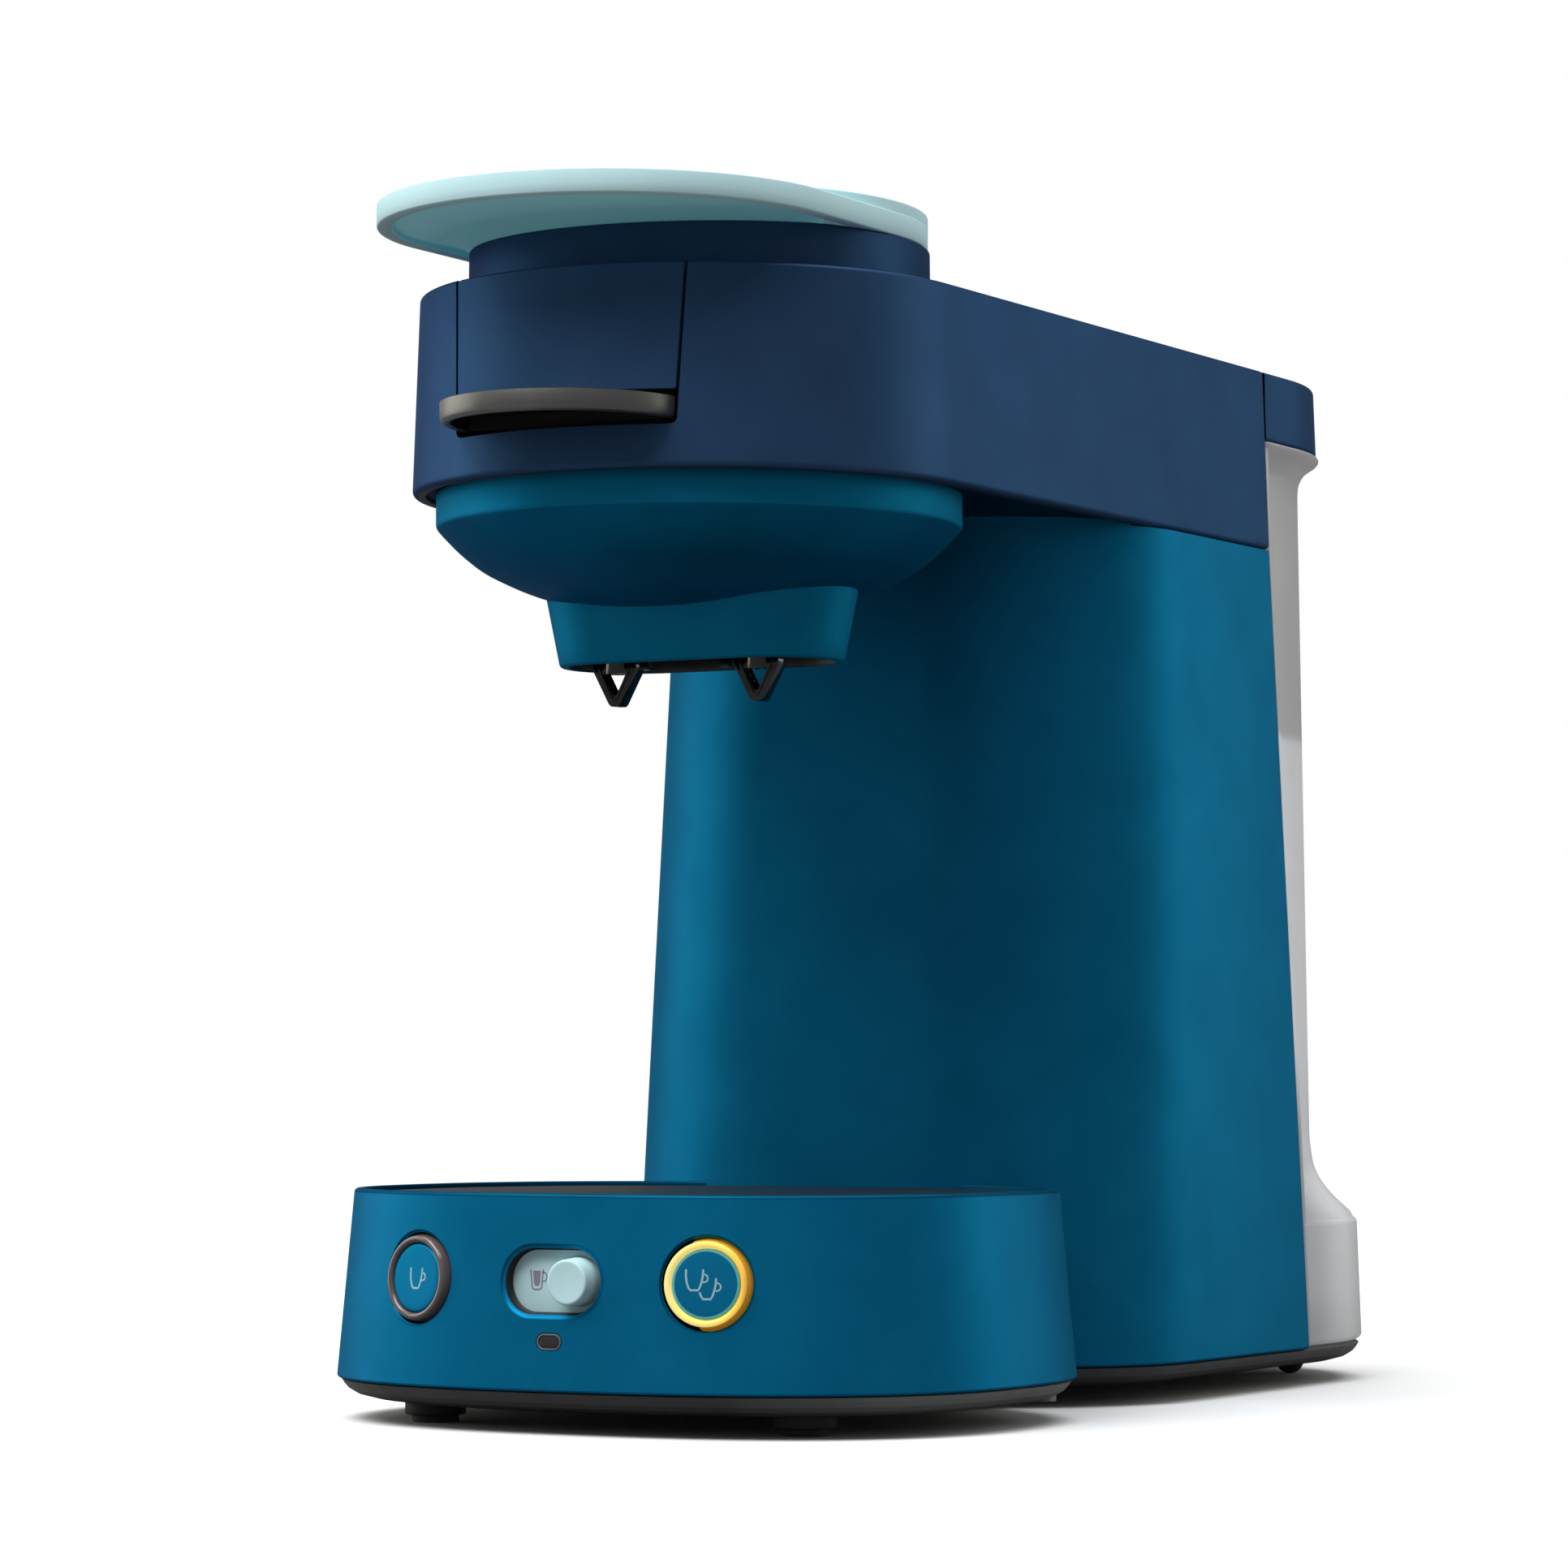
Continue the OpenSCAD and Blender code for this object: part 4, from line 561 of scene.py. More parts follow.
# ------------------------------------------------------------------ column
b = Build()
rows = [(8.3, 2.1), (8.3, .6)] + fillet(8.3, 0, .6, 0, 4)[1:] + [(60, 0), (110, 0), (160, 0), (183.4, 0), (183.5, .12), (183.5, 2.1)]
def col_norms(z):
    """Normals of a side with a slight crown: they go on turning a little along the flat of the side."""
    h, f, rr = half_w(z), col_front(z), col_rear(z)
    out = []
    for x, y, _ in col_loop(z, 0):
        ax = abs(x) - (h - 41.5)
        if y < f + 41.6:
            a = math.degrees(math.atan2(ax, f + 41.5 - y)) if ax > 0 else 0
            a = a if a < 45 else 45 + (a - 45) * 38 / 45
        elif y < rr - .9:
            a = 91
        else:
            out.append(None)
            continue
        a = math.radians(a if x > 0 else -a)
        out.append((math.sin(a), -math.cos(a), .036))
    return out


b.loft([b.ring(col_loop(z, d), col_norms(z) if d == 0 and z < 183.45 else None) for z, d in rows])
mid = [i for i, p in enumerate(col_loop(183.4, 0)) if abs(p[0]) < half_w(183.4) - 2.9 and p[1] < 100]
b.strip(b.ring([col_loop(183.4, .0)[i] for i in mid]), b.ring([(q[0], q[1], 184.45) for q in [col_loop(183.4, .0)[i] for i in mid]]), False)
b.loft([col_loop(z, 2.1) for z in (8.3, 183.43)], flip=True)
b.done("column_wall", "frame", "teal_col", "column_shell")


# ------------------------------------------------------------- head and arm
def head_r(z, d=0): return half_w(z) - .7 - d
def head_y(x, z, d=0): return -math.sqrt(max(0, head_r(z, d) ** 2 - x * x))


HX = 40
HMID = [-HX + 2 * i for i in range(41)]


def head_rest(z, d, n=24, rear=150):
    """Plan from x = 40 round the right side and the back to x = -40."""
    R, h = head_r(z, d), half_w(z) - d
    a0 = -math.degrees(math.acos(HX / R))
    right = arcpts(0, 0, R, a0, 0, n)
    side = [(R + .7 * y / 150, y) for y in (15, 30, 50, 75, 100, 130)]
    rr = rear - d
    rc = corner((h, rr), (h, 0), (0, rr), .7)
    full = right + side + rc
    return full + [(-x, y) for x, y in full[::-1]]


def head_loop(z, d, w=None):
    rest = head_rest(z, d)
    if w is None:
        return at_z([(x, head_y(x, z, d)) for x in HMID[1:-1]] + rest, z)
    xs = [w] + [x for x in HMID if x > w + .4 and x < HX]
    return at_z([(x, head_y(x, z, d)) for x in xs] + rest + [(-x, head_y(x, z, d)) for x in xs[::-1]], z)


def head_n(x, z):
    e = .05
    yx = (head_y(x + e, z) - head_y(x - e, z)) / (2 * e)
    yz = (head_y(x, z + e) - head_y(x, z - e)) / (2 * e)
    return Vector((yx, -1, yz)).normalized()


NZ0 = 191.98
def notch_w(z): return 24.82 + .04 * (z - NZ0)


def notch(off, ztop, z0=NZ0, cr=1.1, n=6):
    """Outline of the front opening, offset outward, from the right top round to the left top."""
    zb = z0 - off
    r = max(.05, cr - off) if off < 0 else cr + off * .3
    right = [(notch_w(z) + off, z) for z in [ztop - (ztop - zb - r) * i / 8 for i in range(9)]]
    w = notch_w(zb) + off
    cor = [(w - r + r * math.cos(t), zb + r + r * math.sin(t)) for t in [-pi / 2 * i / n for i in range(1, n + 1)]]
    half = right + cor
    bot = [((w - r) * (1 - 2 * i / 24), zb) for i in range(1, 24)]
    return half + bot + [(-x, z) for x, z in half[::-1]]


b = Build()
HZ0, HZ1 = 187.0, 222.55
wn = notch_w(HZ1) + .18
prof = [(185.6, 2.75), (183.85, 2.75), (183.68, 2.68), (183.6, 2.5), (183.6, 1.2), (183.65, .9), (183.79, .58), (184.0, .32), (184.3, .12), (184.65, .02), (185.0, 0)]
rings = [b.ring(head_loop(z, d)) for z, d in prof]
# the inside of the head's lower edge takes the black of the gaps: painted shade
for i, (p, q) in enumerate(zip(rings, rings[1:])):
    b.strip(p, q, True, 1 if i < 4 else 0)


def norms(fn, z, **k):
    lo, hi, p = fn(z - .5, 0, **k), fn(z + .5, 0, **k), fn(z, 0, **k)
    m = len(p)
    return [tuple((Vector(p[(i + 1) % m]) - Vector(p[i - 1])).cross(Vector(hi[i]) - Vector(lo[i])).normalized()) for i in range(m)]


lowr = b.ring(head_loop(HZ0, 0), norms(head_loop, HZ0))
b.strip(rings[-1], lowr)
n0 = len(HMID) - 2
rest_lo = lowr[n0:]
un = norms(head_loop, HZ1, w=wn)
ul = head_loop(HZ1, 0, wn)
un = [tuple(head_n(p[0], HZ1)) if p[1] < 0 and abs(p[0]) < HX + .5 else q for p, q in zip(ul, un)]
up = b.ring(ul, un)
xs_up = [wn] + [x for x in HMID if x > wn + .4 and x < HX]
k = len(xs_up)
rest_up = up[k:-k]
b.strip(rest_lo, rest_up, False)
outer = ([(-HX, HZ0, rest_lo[-1])] + [(x, HZ0, lowr[i]) for i, x in enumerate(HMID[1:-1])] + [(HX, HZ0, rest_lo[0])] +
         [(HX, HZ1, rest_up[0])] + [(x, HZ1, up[i]) for i, x in reversed(list(enumerate(xs_up)))])
nt_rings = []
fr = .12
for off, dep in [(fr, 0), (fr * .45, fr * .15), (fr * .12, fr * .5), (0, fr), (0, 1.2), (0, 2.4)]:
    q = notch(off, HZ1)
    pts = [(x, head_y(x, z) + dep, z) for x, z in q]
    ids = [b.add(p, None if nt_rings else head_n(p[0], min(p[2], HZ1))) for p in pts]
    nt_rings.append(ids)
nt_rings[0][0] = up[0]; nt_rings[0][-1] = up[-1]
# the deep walls of the opening round the lid panel are black: painted shade in the gap
for i in range(len(nt_rings) - 1):
    b.strip(nt_rings[i], nt_rings[i + 1], False, 0 if i < 3 else 1)
nq = notch(fr, HZ1)
outer += [(nq[i][0], nq[i][1], nt_rings[0][i]) for i in range(1, len(nq) - 1)]
outer += [(-x, HZ1, up[-1 - i]) for i, x in enumerate(xs_up)] + [(-HX, HZ1, rest_up[-1])]
poly = [(q[0], q[1]) for q in outer]
skin(b, outer, [], lambda x, z: (x, head_y(x, z), z), head_n, 3.0, keep_inside=poly)
tops = [up]
for z, d in fillet(223.35, 0, .75, 1, 5)[1:]:
    tops.append(b.ring(head_loop(z, d, wn)))
for p, q in zip(tops, tops[1:]):
    b.strip(p, q, False)
# flat top with the round mouth
tl = tops[-1]
RM = 46.9
a0 = math.degrees(math.asin(wn / RM))
mouth = [(RM * math.sin(math.radians(t)), -RM * math.cos(math.radians(t))) for t in
         [a0 + (360 - 2 * a0) * i / 160 for i in range(161)]]
mr = b.ring(at_z(mouth, 223.35))
b.face(tl + mr[::-1])
for i in tl + mr:
    b.n[i] = (0, 0, 1)
m2 = [b.ring(at_z([(x * q, y * q) for x, y in mouth], z)) for z, q in [(223.3, .9985), (223.15, .9965), (222.9, .996), (216, .996)]]
for p, q in zip([mr] + m2, m2):
    b.strip(p, q, False)
# black strips at the ends of the opening: painted shade
for end in (0, -1):
    edge = [t[end] for t in tops] + [mr[end]]
    dn = [b.add((b.v[i][0], b.v[i][1] + (.4 if i != mr[end] else 0), HZ1 - 2)) for i in edge]
    b.strip(edge, dn, False, 1)
b.done("head_wall", "frame", ["navy", "gap"], "head_shell", fix=False)

# front panel of the lid
b = Build()
def pan(off, n=6):
    zt, zb, g, r = 223.35 - .3 + off, 198.62 - off, .5, .5
    right = [(notch_w(z) - g + off, z) for z in [zt - (zt - zb - r) * i / 8 for i in range(9)]]
    w = notch_w(zb) - g + off
    cor = [(w - r + r * math.cos(t), zb + r + r * math.sin(t)) for t in [-pi / 2 * i / n for i in range(1, n + 1)]]
    half = right + cor
    bot = [((w - r) * (1 - 2 * i / 24), zb) for i in range(1, 24)]
    tp = [((notch_w(zt) - g + off) * (2 * i / 24 - 1), zt) for i in range(1, 24)]
    return half + bot + [(-x, z) for x, z in half[::-1]] + tp
rings = []
fr = .16
for off, dep in [(-fr, 0), (-fr * .5, fr * .13), (-fr * .13, fr * .5), (0, fr), (0, 1.4), (-.2, 2.2)]:
    q = pan(off)
    rings.append([b.add((x, head_y(x, min(z, 222.6)) + dep, z), head_n(x, z) if dep == 0 else None) for x, z in q])
for i in range(len(rings) - 1):
    b.strip(rings[i], rings[i + 1], True)
q = pan(-fr)
skin(b, [(q[i][0], q[i][1], rings[0][i]) for i in range(len(q))], [], lambda x, z: (x, head_y(x, min(z, 222.6)), z), head_n, 3.0,
     keep_inside=[(x, z) for x, z in q])
b.face(rings[-1])
# top plate that runs back to the collar
xs = [-25.3 + 50.6 * i / 24 for i in range(25)]
o1 = [(x, head_y(x, 223.0) + .9, 223.33) for x in xs]
i1 = [(x, -math.sqrt(44.6 ** 2 - x * x), 223.33) for x in xs]
ro, ri = b.ring(o1), b.ring(i1)
ro2, ri2 = b.ring([(x, y, 221.3) for x, y, z in o1]), b.ring([(x, y, 221.3) for x, y, z in i1])
b.strip(ro, ri, False); b.strip(ri, ri2, False); b.strip(ri2, ro2, False); b.strip(ro2, ro, False)
b.done("lid_front_panel", "lid", "navy", "lid_panel", fix=True)

# grip
b = Build()
GR, GY = 24.3, -51.13
def grip_loop(r, z, n=64):
    return [(r * math.cos(t), GY + r * math.sin(t), z) for t in [pi + pi * i / n for i in range(n + 1)]]
gp = [(0.01, 197.29), (GR - .14, 197.29)] + [(GR - .14 + .14 * math.sin(a), 197.15 + .14 * math.cos(a)) for a in (pi / 6, pi / 3, pi / 2)]
gp += [(GR, 195.2), (GR - .1, 193.8), (GR - .35, 193.4), (GR - .8, 193.16), (GR - 1.7, 193.16), (GR - 2.05, 193.4), (GR - 2.15, 195.6), (GR - 2.4, 195.8), (0.01, 195.8)]
# the grip's rounded top edge, its hollow and the face closing its back take the black of the gaps: painted shade
b.loft([grip_loop(r, z) for r, z in gp], closed=False, mats=[0] + [1] * 3 + [0] * 6 + [1] * 4, flip=True)
back = [(-GR + .3, GY + .02, 197.29), (GR - .3, GY + .02, 197.29), (GR - .3, GY + .02, 193.2), (-GR + .3, GY + .02, 193.2)]
b.face(b.ring(back), 1)
back = [(-20, -56.0, 200.5), (20, -56.0, 200.5), (20, -54.5, 197.2), (-20, -54.5, 197.2)]
b.done("lid_grip_bar", "lid", ["grip", "gap"], "lid_grip", fix=True)

# collar of the lid
b = Build()
CN = 192
def collar_top(y):
    return min(233.0, 233.67 + y * .028, 233.07 - (y - 38.18) * .384 if y > 38.18 else 999)
def collar_loop(r, z=None, drop=0):
    out = []
    for i in range(CN):
        t = 2 * pi * i / CN
        x, y = r * math.cos(t), r * math.sin(t)
        zz = collar_top(y) - drop if z is None else z
        out.append((x, y, zz))
    return out
b.loft([collar_loop(44.3, 223.7), collar_loop(46.35, 223.7), collar_loop(46.49, 223.85), collar_loop(46.37, 227), collar_loop(46.32, None, .35),
        collar_loop(46.27, None, .15), collar_loop(46.12, None, .02), collar_loop(45.9, None, 0), collar_loop(20, None, 0)])
b.face(b.ring(collar_loop(20, None, 0)))
b.done("lid_collar_wall", "lid", "navy_dark")
for nm in ("lid_collar",):
    pass

# ------------------------------------------------------------------ lever
b = Build()
def tongue(d, z, n=96, rr=46.11):
    R = rr - d
    front = [(R * math.cos(t), -33.8 + R * math.sin(t)) for t in [pi + pi * i / n for i in range(n + 1)]]
    side = [(R, y) for y in (-25, -15, -5)]
    rear = []
    for i in range(n + 1):
        t = pi * i / n
        blend = max(0, min(1, (math.degrees(t) - 2) / 34)) * max(0, min(1, (178 - math.degrees(t)) / 34))
        q = R - .3 * (blend * blend * (3 - 2 * blend))
        rear.append((q * math.cos(t), q * math.sin(t)))
    return at_z(front + side + rear + [(-x, y) for x, y in side[::-1]], z)
lp = [(234.1, 3.9), (234.05, 3.5), (233.85, 3.27), (233.4, 3.22), (233.22, 3.12), (233.15, 2.9), (233.15, .45), (233.18, .26), (233.27, .1), (233.45, .01), (235, 0),
      (237.52, .01), (237.62, .05), (237.68, .13), (237.7, .26)]
# the underside strips take the glowing aqua copy, painted light, and the top face the darker copy, painted shade
b.loft([tongue(d, z) for z, d in lp], mats=[1] * 5 + [0] * 9, cap0=True, cap1=True)
b.m[-1] = 2
# round cap above the collar
def disc(r, z, n=192):
    return [(r * math.cos(2 * pi * i / n), r * math.sin(2 * pi * i / n), z) for i in range(n)]
cp = [(45.2, 233.13), (45.6, 233.15), (45.85, 233.2), (45.93, 233.4), (45.93, 234.2), (45.93, 239.75), (45.9, 239.95), (45.8, 240.1), (45.64, 240.18), (45.4, 240.2)]
b.loft([disc(r, z) for r, z in cp], cap1=True)
# the cap's top face takes the darker aqua too, painted shade
b.m[-1] = 2
# the underside runs down to the collar, in the glowing aqua copy of painted light
flare = []
for i in range(121):
    t = math.radians(-28.5 - 123 * i / 120)
    uc = -33.8 * math.sin(t)
    edge_r = uc + math.sqrt(max(0, uc * uc - 33.8 ** 2 + 42.35 ** 2))
    r0 = 46.02
    r1 = max(r0 + .05, min(r0 + 7.5, edge_r))
    zc = collar_top(r0 * math.sin(t)) + .1
    row = []
    for k in range(9):
        q = k / 8
        row.append(b.add(((r0 + (r1 - r0) * q) * math.cos(t), (r0 + (r1 - r0) * q) * math.sin(t), 234.12 - (234.12 - zc) * (1 - q) ** 2)))
    flare.append(row)
for p, q in zip(flare, flare[1:]):
    b.strip(p, q, False, 1)
b.done("lever_slab", "lever", ["aqua", "aqua_low", "aqua_top"])


def prism_x(b, x0, x1, outline, mat=0, r=.25):
    """A block with softened ends, from an outline in (y, z), along X."""
    cy = sum(p[0] for p in outline) / len(outline); cz = sum(p[1] for p in outline) / len(outline)
    size = max(math.hypot(p[0] - cy, p[1] - cz) for p in outline)
    rings = []
    for x, k in [(x0, r), (x0 + r * .3, r * .3), (x0 + r, 0), (x1 - r, 0), (x1 - r * .3, r * .3), (x1, r)]:
        q = 1 - k / size
        rings.append(b.ring([(x, cy + (y - cy) * q, cz + (z - cz) * q) for y, z in outline]))
    area = sum(outline[i - 1][0] * outline[i][1] - outline[i][0] * outline[i - 1][1] for i in range(len(outline)))
    fl = area < 0
    for p, q in zip(rings, rings[1:]):
        b.strip(p, q, True, mat, flip=fl)
    b.face(rings[0] if fl else rings[0][::-1], mat)
    b.face(rings[-1][::-1] if fl else rings[-1], mat)


# lugs of the lever on its pin
b = Build()
for s in (-1, 1):
    o = [(39.0, 234.6), (39.0, 229.25)] + arcpts(41.5, 229.25, 2.8, 200, 360, 14) + [(43.3, 230.6), (43.3, 234.6)]
    prism_x(b, s * 18.34 - 1.8, s * 18.34 + 1.8, o)
b.done("lever_lugs", "lever", "aqua", "lever", fix=True)
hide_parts("lever")

# ------------------------------------------------------------ bowl and spout
b = Build()
def turned(b, rows, n=192, cx=0, cy=0, mats=None, closed_ends=(False, False)):
    loops = [[(cx + r * math.cos(2 * pi * i / n), cy + r * math.sin(2 * pi * i / n), z) for i in range(n)] for r, z in rows]
    return b.loft(loops, mats=mats, cap0=closed_ends[0], cap1=closed_ends[1])
bowl = smooth([(.4, 160.1), (7.47, 160.27), (14.94, 160.94), (22.41, 161.93), (29.88, 163.43), (34.86, 165), (39.84, 167.16), (43.99, 169.4),
               (48.14, 172.72), (51.13, 175.71), (52.3, 177.0)], 4)
bowl += [(52.55, 177.35), (52.72, 177.7), (52.79, 178.1), (52.79, 181), (52.79, 183.9), (52.7, 184.2), (52.45, 184.34), (50.7, 184.34), (50.55, 184.0),
         (50.55, 179.28), (49.8, 177.62), (45.65, 173.47), (39.84, 170.07), (29.88, 166.5), (14.94, 165.3), (.4, 165.1)]
nb = next(i for i, q in enumerate(bowl) if q[1] > 177.2)
# the bowl's underside takes the darker copy, painted shade
turned(b, bowl, mats=[2] * nb + [0] * (len(bowl) - nb), closed_ends=(True, True))
def spout(z, d=0, n=40):
    t = (z - 150.23) / 15.77
    c, r = 15.69 + 1.41 * t, 14.94 + 1.91 * t - d
    return at_z([(c + r * math.cos(q), .75 + r * math.sin(q)) for q in [-pi / 2 + pi * i / n for i in range(n + 1)]] +
                [(-c + r * math.cos(q), .75 + r * math.sin(q)) for q in [pi / 2 + pi * i / n for i in range(n + 1)]], z)
sp = [(155.2, 2.2), (152.5, 2.15), (150.9, 2.05), (150.5, 1.85), (150.3, 1.6), (150.23, 1.3), (150.23, .8), (150.3, .45), (150.5, .16), (150.85, 0), (154, 0), (158, 0), (162, 0), (164.9, 0)]
b.loft([spout(z, d) for z, d in sp], mats=[1] * 4 + [0] * 9, cap1=True)
b.face(b.ring(spout(155.2, 2.2))[::-1], 1)
b.done("collector_bowl", "frame", ["teal_bowl", "black", "bowl_low"], "coffee_collector")

# ------------------------------------------------------------------ tank
def tank_front(z): return col_rear(min(z, 183.6)) + .58


def tank_loop(z, R, yc, y0, n=72, cr=.8):
    return at_z(corner((-R, y0), (-R, yc), (R, y0), cr) + corner((R, y0), (-R, y0), (R, yc), cr) + arcpts(0, yc, R, 0, 180, n), z)


form = [(37.6, 62.17, 170.48), (39.51, 60.51, 169.32), (41.33, 59.01, 168.49), (43.16, 57.77, 167.74), (44.99, 56.77, 167.16),
        (46.81, 56.03, 166.75), (48.64, 55.57, 166.42), (51.46, 55.2, 166.17), (54.78, 54.95, 166), (59.76, 54.86, 166), (90, 54.44, 166), (124.5, 53.98, 166),
        (160, 53.5, 166), (195.88, 53.04, 166), (200.45, 53.08, 166), (202.11, 53.29, 166), (203.93, 54.12, 166), (205.01, 54.95, 166), (205.84, 56.03, 166), (206.75, 57.4, 166)]
outer = [(z, half_w(z) - .21 - i, 171.4) for z, i in [(8.88, 1.33), (8.95, .9), (9.2, .5), (9.55, .2), (9.96, 0), (20, 0), (34.9, 0), (35.5, .08), (35.85, .3), (36.1, .7)]]
outer += smooth(form, 3) + [(207.2, 57.74, 166), (207.55, 57.8, 166), (207.75, 57.66, 166), (207.83, 57.3, 166), (207.83, 54.2, 166), (207.95, 53.97, 166), (210.8, 53.95, 166),
                            (211.08, 53.8, 166), (211.15, 53.5, 166), (211.15, 52.4, 166), (211.0, 52.1, 166)]
innr = smooth([(200, 51.15, 166), (195.88, 51.19, 166), (124.5, 52.1, 166), (59.76, 53.01, 166), (51.46, 53.26, 166.17), (44.82, 54.92, 167.16), (35.69, 61.2, 171.0),
               (30, 61.6, 171.4)], 3) + [(10.96, 62.4, 171.4)]
b = Build()
loops = [tank_loop(z, R, yc, tank_front(z) + (0 if z < 207.9 else .02)) for z, R, yc in outer]
loops += [tank_loop(z, R, yc, tank_front(z) + 1.85) for z, R, yc in innr]
b.loft(loops, cap0=True, cap1=True)
# upright plate along the column's rear edge
fl = []
for z, d in [(33.2, .3), (33.3, .1), (33.6, 0), (80, 0), (140, 0), (183.6, 0), (207.3, 0), (207.55, .1), (207.65, .3)]:
    w, y0 = half_w(z) - .42 - d, tank_front(z) - .04
    c = .45
    fl.append(at_z(corner((-w, y0), (-w, y0 + 1.7), (w, y0), c, 3) + corner((w, y0), (-w, y0), (w, y0 + 1.7), c, 3) +
                   corner((w, y0 + 1.7), (w, y0), (-w, y0 + 1.7), c, 3) + corner((-w, y0 + 1.7), (w, y0 + 1.7), (-w, y0), c, 3), z))
b.loft(fl, cap0=True, cap1=True)
for s in (-1, 1):
    x0 = 33.62 if s > 0 else -38.6
    o = [(150.75, 207.9), (155.07, 207.9), (155.07, 220.94)] + arcpts(152.91, 220.94, 2.16, 0, 180, 14)
    prism_x(b, x0, x0 + 4.98, o)
b.done("tank_vessel", "tank", "frost", "water_tank")
b = Build()
wl = 143.9
wr = [r for r in [(11.1, 62.2, 171.4), (30, 61.4, 171.4), (35.69, 61.0, 171.0), (44.82, 54.7, 167.16), (51.46, 53.05, 166.17), (59.76, 52.8, 166), (100, 52.2, 166), (wl - .6, 51.65, 166), (wl, 51.2, 166)]]
b.loft([tank_loop(z, R, yc, tank_front(z) + 2.05) for z, R, yc in wr], cap0=True, cap1=True)
b.done("tank_water", "tank", "water")

# lid of the tank
b = Build()
LF = 150.5
def lid_loop(z, d, n=72, y0=LF):
    R = half_w(z) - .08 - d
    return at_z([(R, y0), (R, y0 + 4), (R, y0 + 9)] + arcpts(0, 166, R, 0, 180, n) + [(-R, y0 + 9), (-R, y0 + 4), (-R, y0)], z)
lp = [(212, 2.55), (208.5, 2.5), (208.22, 2.35), (208.16, 2.1), (208.16, .5), (208.24, .2), (208.5, .02), (209, 0), (215, 0), (222.5, 0)] + fillet(223.35, 0, .8, 1, 6)[1:]
rings = b.loft([lid_loop(z, d, y0=LF + max(0, z - 221.36) * .377) for z, d in lp], closed=False)
for i in rings[-1]:
    b.n[i] = (0, 0, 1)
yn = LF + 5.15
def front_y(z): return LF if z < 220.94 else LF + 2.41 - math.sqrt(max(0, 2.41 ** 2 - (z - 220.94) ** 2))
top = rings[-1]
xr = b.v[top[0]][0]
notched = []
for x in (-38.93, -33.29, 33.29, 38.93):
    notched += [(x, LF + .75, 223.35), (x, yn, 223.35)] if x in (-38.93, 33.29) else [(x, yn, 223.35), (x, LF + .75, 223.35)]
fr_ids = b.ring(notched)
b.face([*top, *fr_ids])
in_ids = b.loft([lid_loop(z, d) for z, d in [(212, 2.55), (221.36, 2.4)]], closed=False, flip=True)
b.face([*in_ids[-1][::-1]])
wall = [(x, LF + .75, 223.35) for x in (-33.29, 33.29)]
b.loft([[(x, y, z) for x in (-33.2, -16, 0, 16, 33.2)] for y, z in [(LF + .75, 223.35), (LF + .35, 222.9), (LF + .1, 222.2), (LF, 221.4), (LF + .3, 221.36), (LF + 3, 221.36)]], closed=False)
for s in (-1, 1):
    q = [(s * 38.93, LF + .75, 223.35), (s * 56, LF + .75, 223.35), (s * 56, LF, 221.36), (s * 38.93, LF, 221.36)]
    b.face(b.ring(q))
    x0 = 28.05 if s > 0 else -33.37
    o = [(155.0, 221.6), (150.8, 221.6), (150.75, 220.94)] + arcpts(152.91, 220.94, 2.16, 180, 360, 14)
    prism_x(b, x0, x0 + 5.31, o)
b.done("tank_lid_cover", "tank_lid", "navy", "tank_lid", fix=True)

# ---------------------------------------------------------- grid and tray
def rear_y(x, z):
    return min(2.91 + drum_ab(z, 0)[1] * 0 + 999, col_y(x, z) - .5)


def plate_loop(z, d, gap=.5, n=220):
    a, bb = drum_ab(z, d)
    dense = []
    for i in range(1440):
        t = 2 * pi * (i + .5) / 1440 - pi / 2
        c, s = math.cos(t), math.sin(t)
        x = math.copysign(a * abs(c) ** (2 / NP), c)
        y = 2.91 + math.copysign(bb * abs(s) ** (2 / NP), s)
        dense.append((x, min(y, col_y(x, z) - gap)))
    length = [0]
    for i in range(len(dense)):
        p, q = dense[i], dense[(i + 1) % len(dense)]
        length.append(length[-1] + math.hypot(q[0] - p[0], q[1] - p[1]))
    out, k = [], 0
    for i in range(n):
        s = length[-1] * i / n
        while length[k + 1] < s:
            k += 1
        fq = (s - length[k]) / max(1e-9, length[k + 1] - length[k])
        p, q = dense[k], dense[(k + 1) % len(dense)]
        out.append((p[0] + (q[0] - p[0]) * fq, p[1] + (q[1] - p[1]) * fq))
    return at_z(out, z)


GZ = 44.9
b = Build()
b.loft([plate_loop(z, d, .65 + (d - 4.7) * .72) for z, d in [(42.76, 4.7), (44.5, 4.7), (44.75, 4.78), (44.86, 4.9), (GZ, 5.1), (GZ, 7.2), (44.86, 7.4),
                                                             (44.7, 7.5), (42.76, 7.5), (42.76, 4.7)]], closed=True)
# curved ribs from edge to edge, with slots between them
edge = [(p[0], p[1]) for p in plate_loop(44.8, 7.0, 2.3)]
RIB, PITCH = .62, 2.3
CX, CY, R0 = -150.0, 130.0, 20.0
kk = 0
r = R0
while r < 330:
    run = []
    for i in range(900):
        t = -pi * .75 + pi * .9 * i / 899
        x, y = CX + r * math.cos(t), CY + r * math.sin(t)
        if inside(edge, x, y):
            run.append((x, y, t))
        elif run:
            break
    if len(run) > 4:
        step = max(1, len(run) // 60)
        run = run[::step] + [run[-1]]
        sec = [(-RIB, 43.2), (-RIB, 44.55), (-RIB * .7, 44.84), (-RIB * .2, GZ + .02), (RIB * .2, GZ + .02), (RIB * .7, 44.84), (RIB, 44.55), (RIB, 43.2)]
        rings = [b.ring([(CX + (r + u) * math.cos(t), CY + (r + u) * math.sin(t), z) for u, z in sec]) for x, y, t in run]
        for p, q in zip(rings, rings[1:]):
            b.strip(p, q, True, 0)
        b.face(rings[0][::-1]); b.face(rings[-1])
    r += PITCH
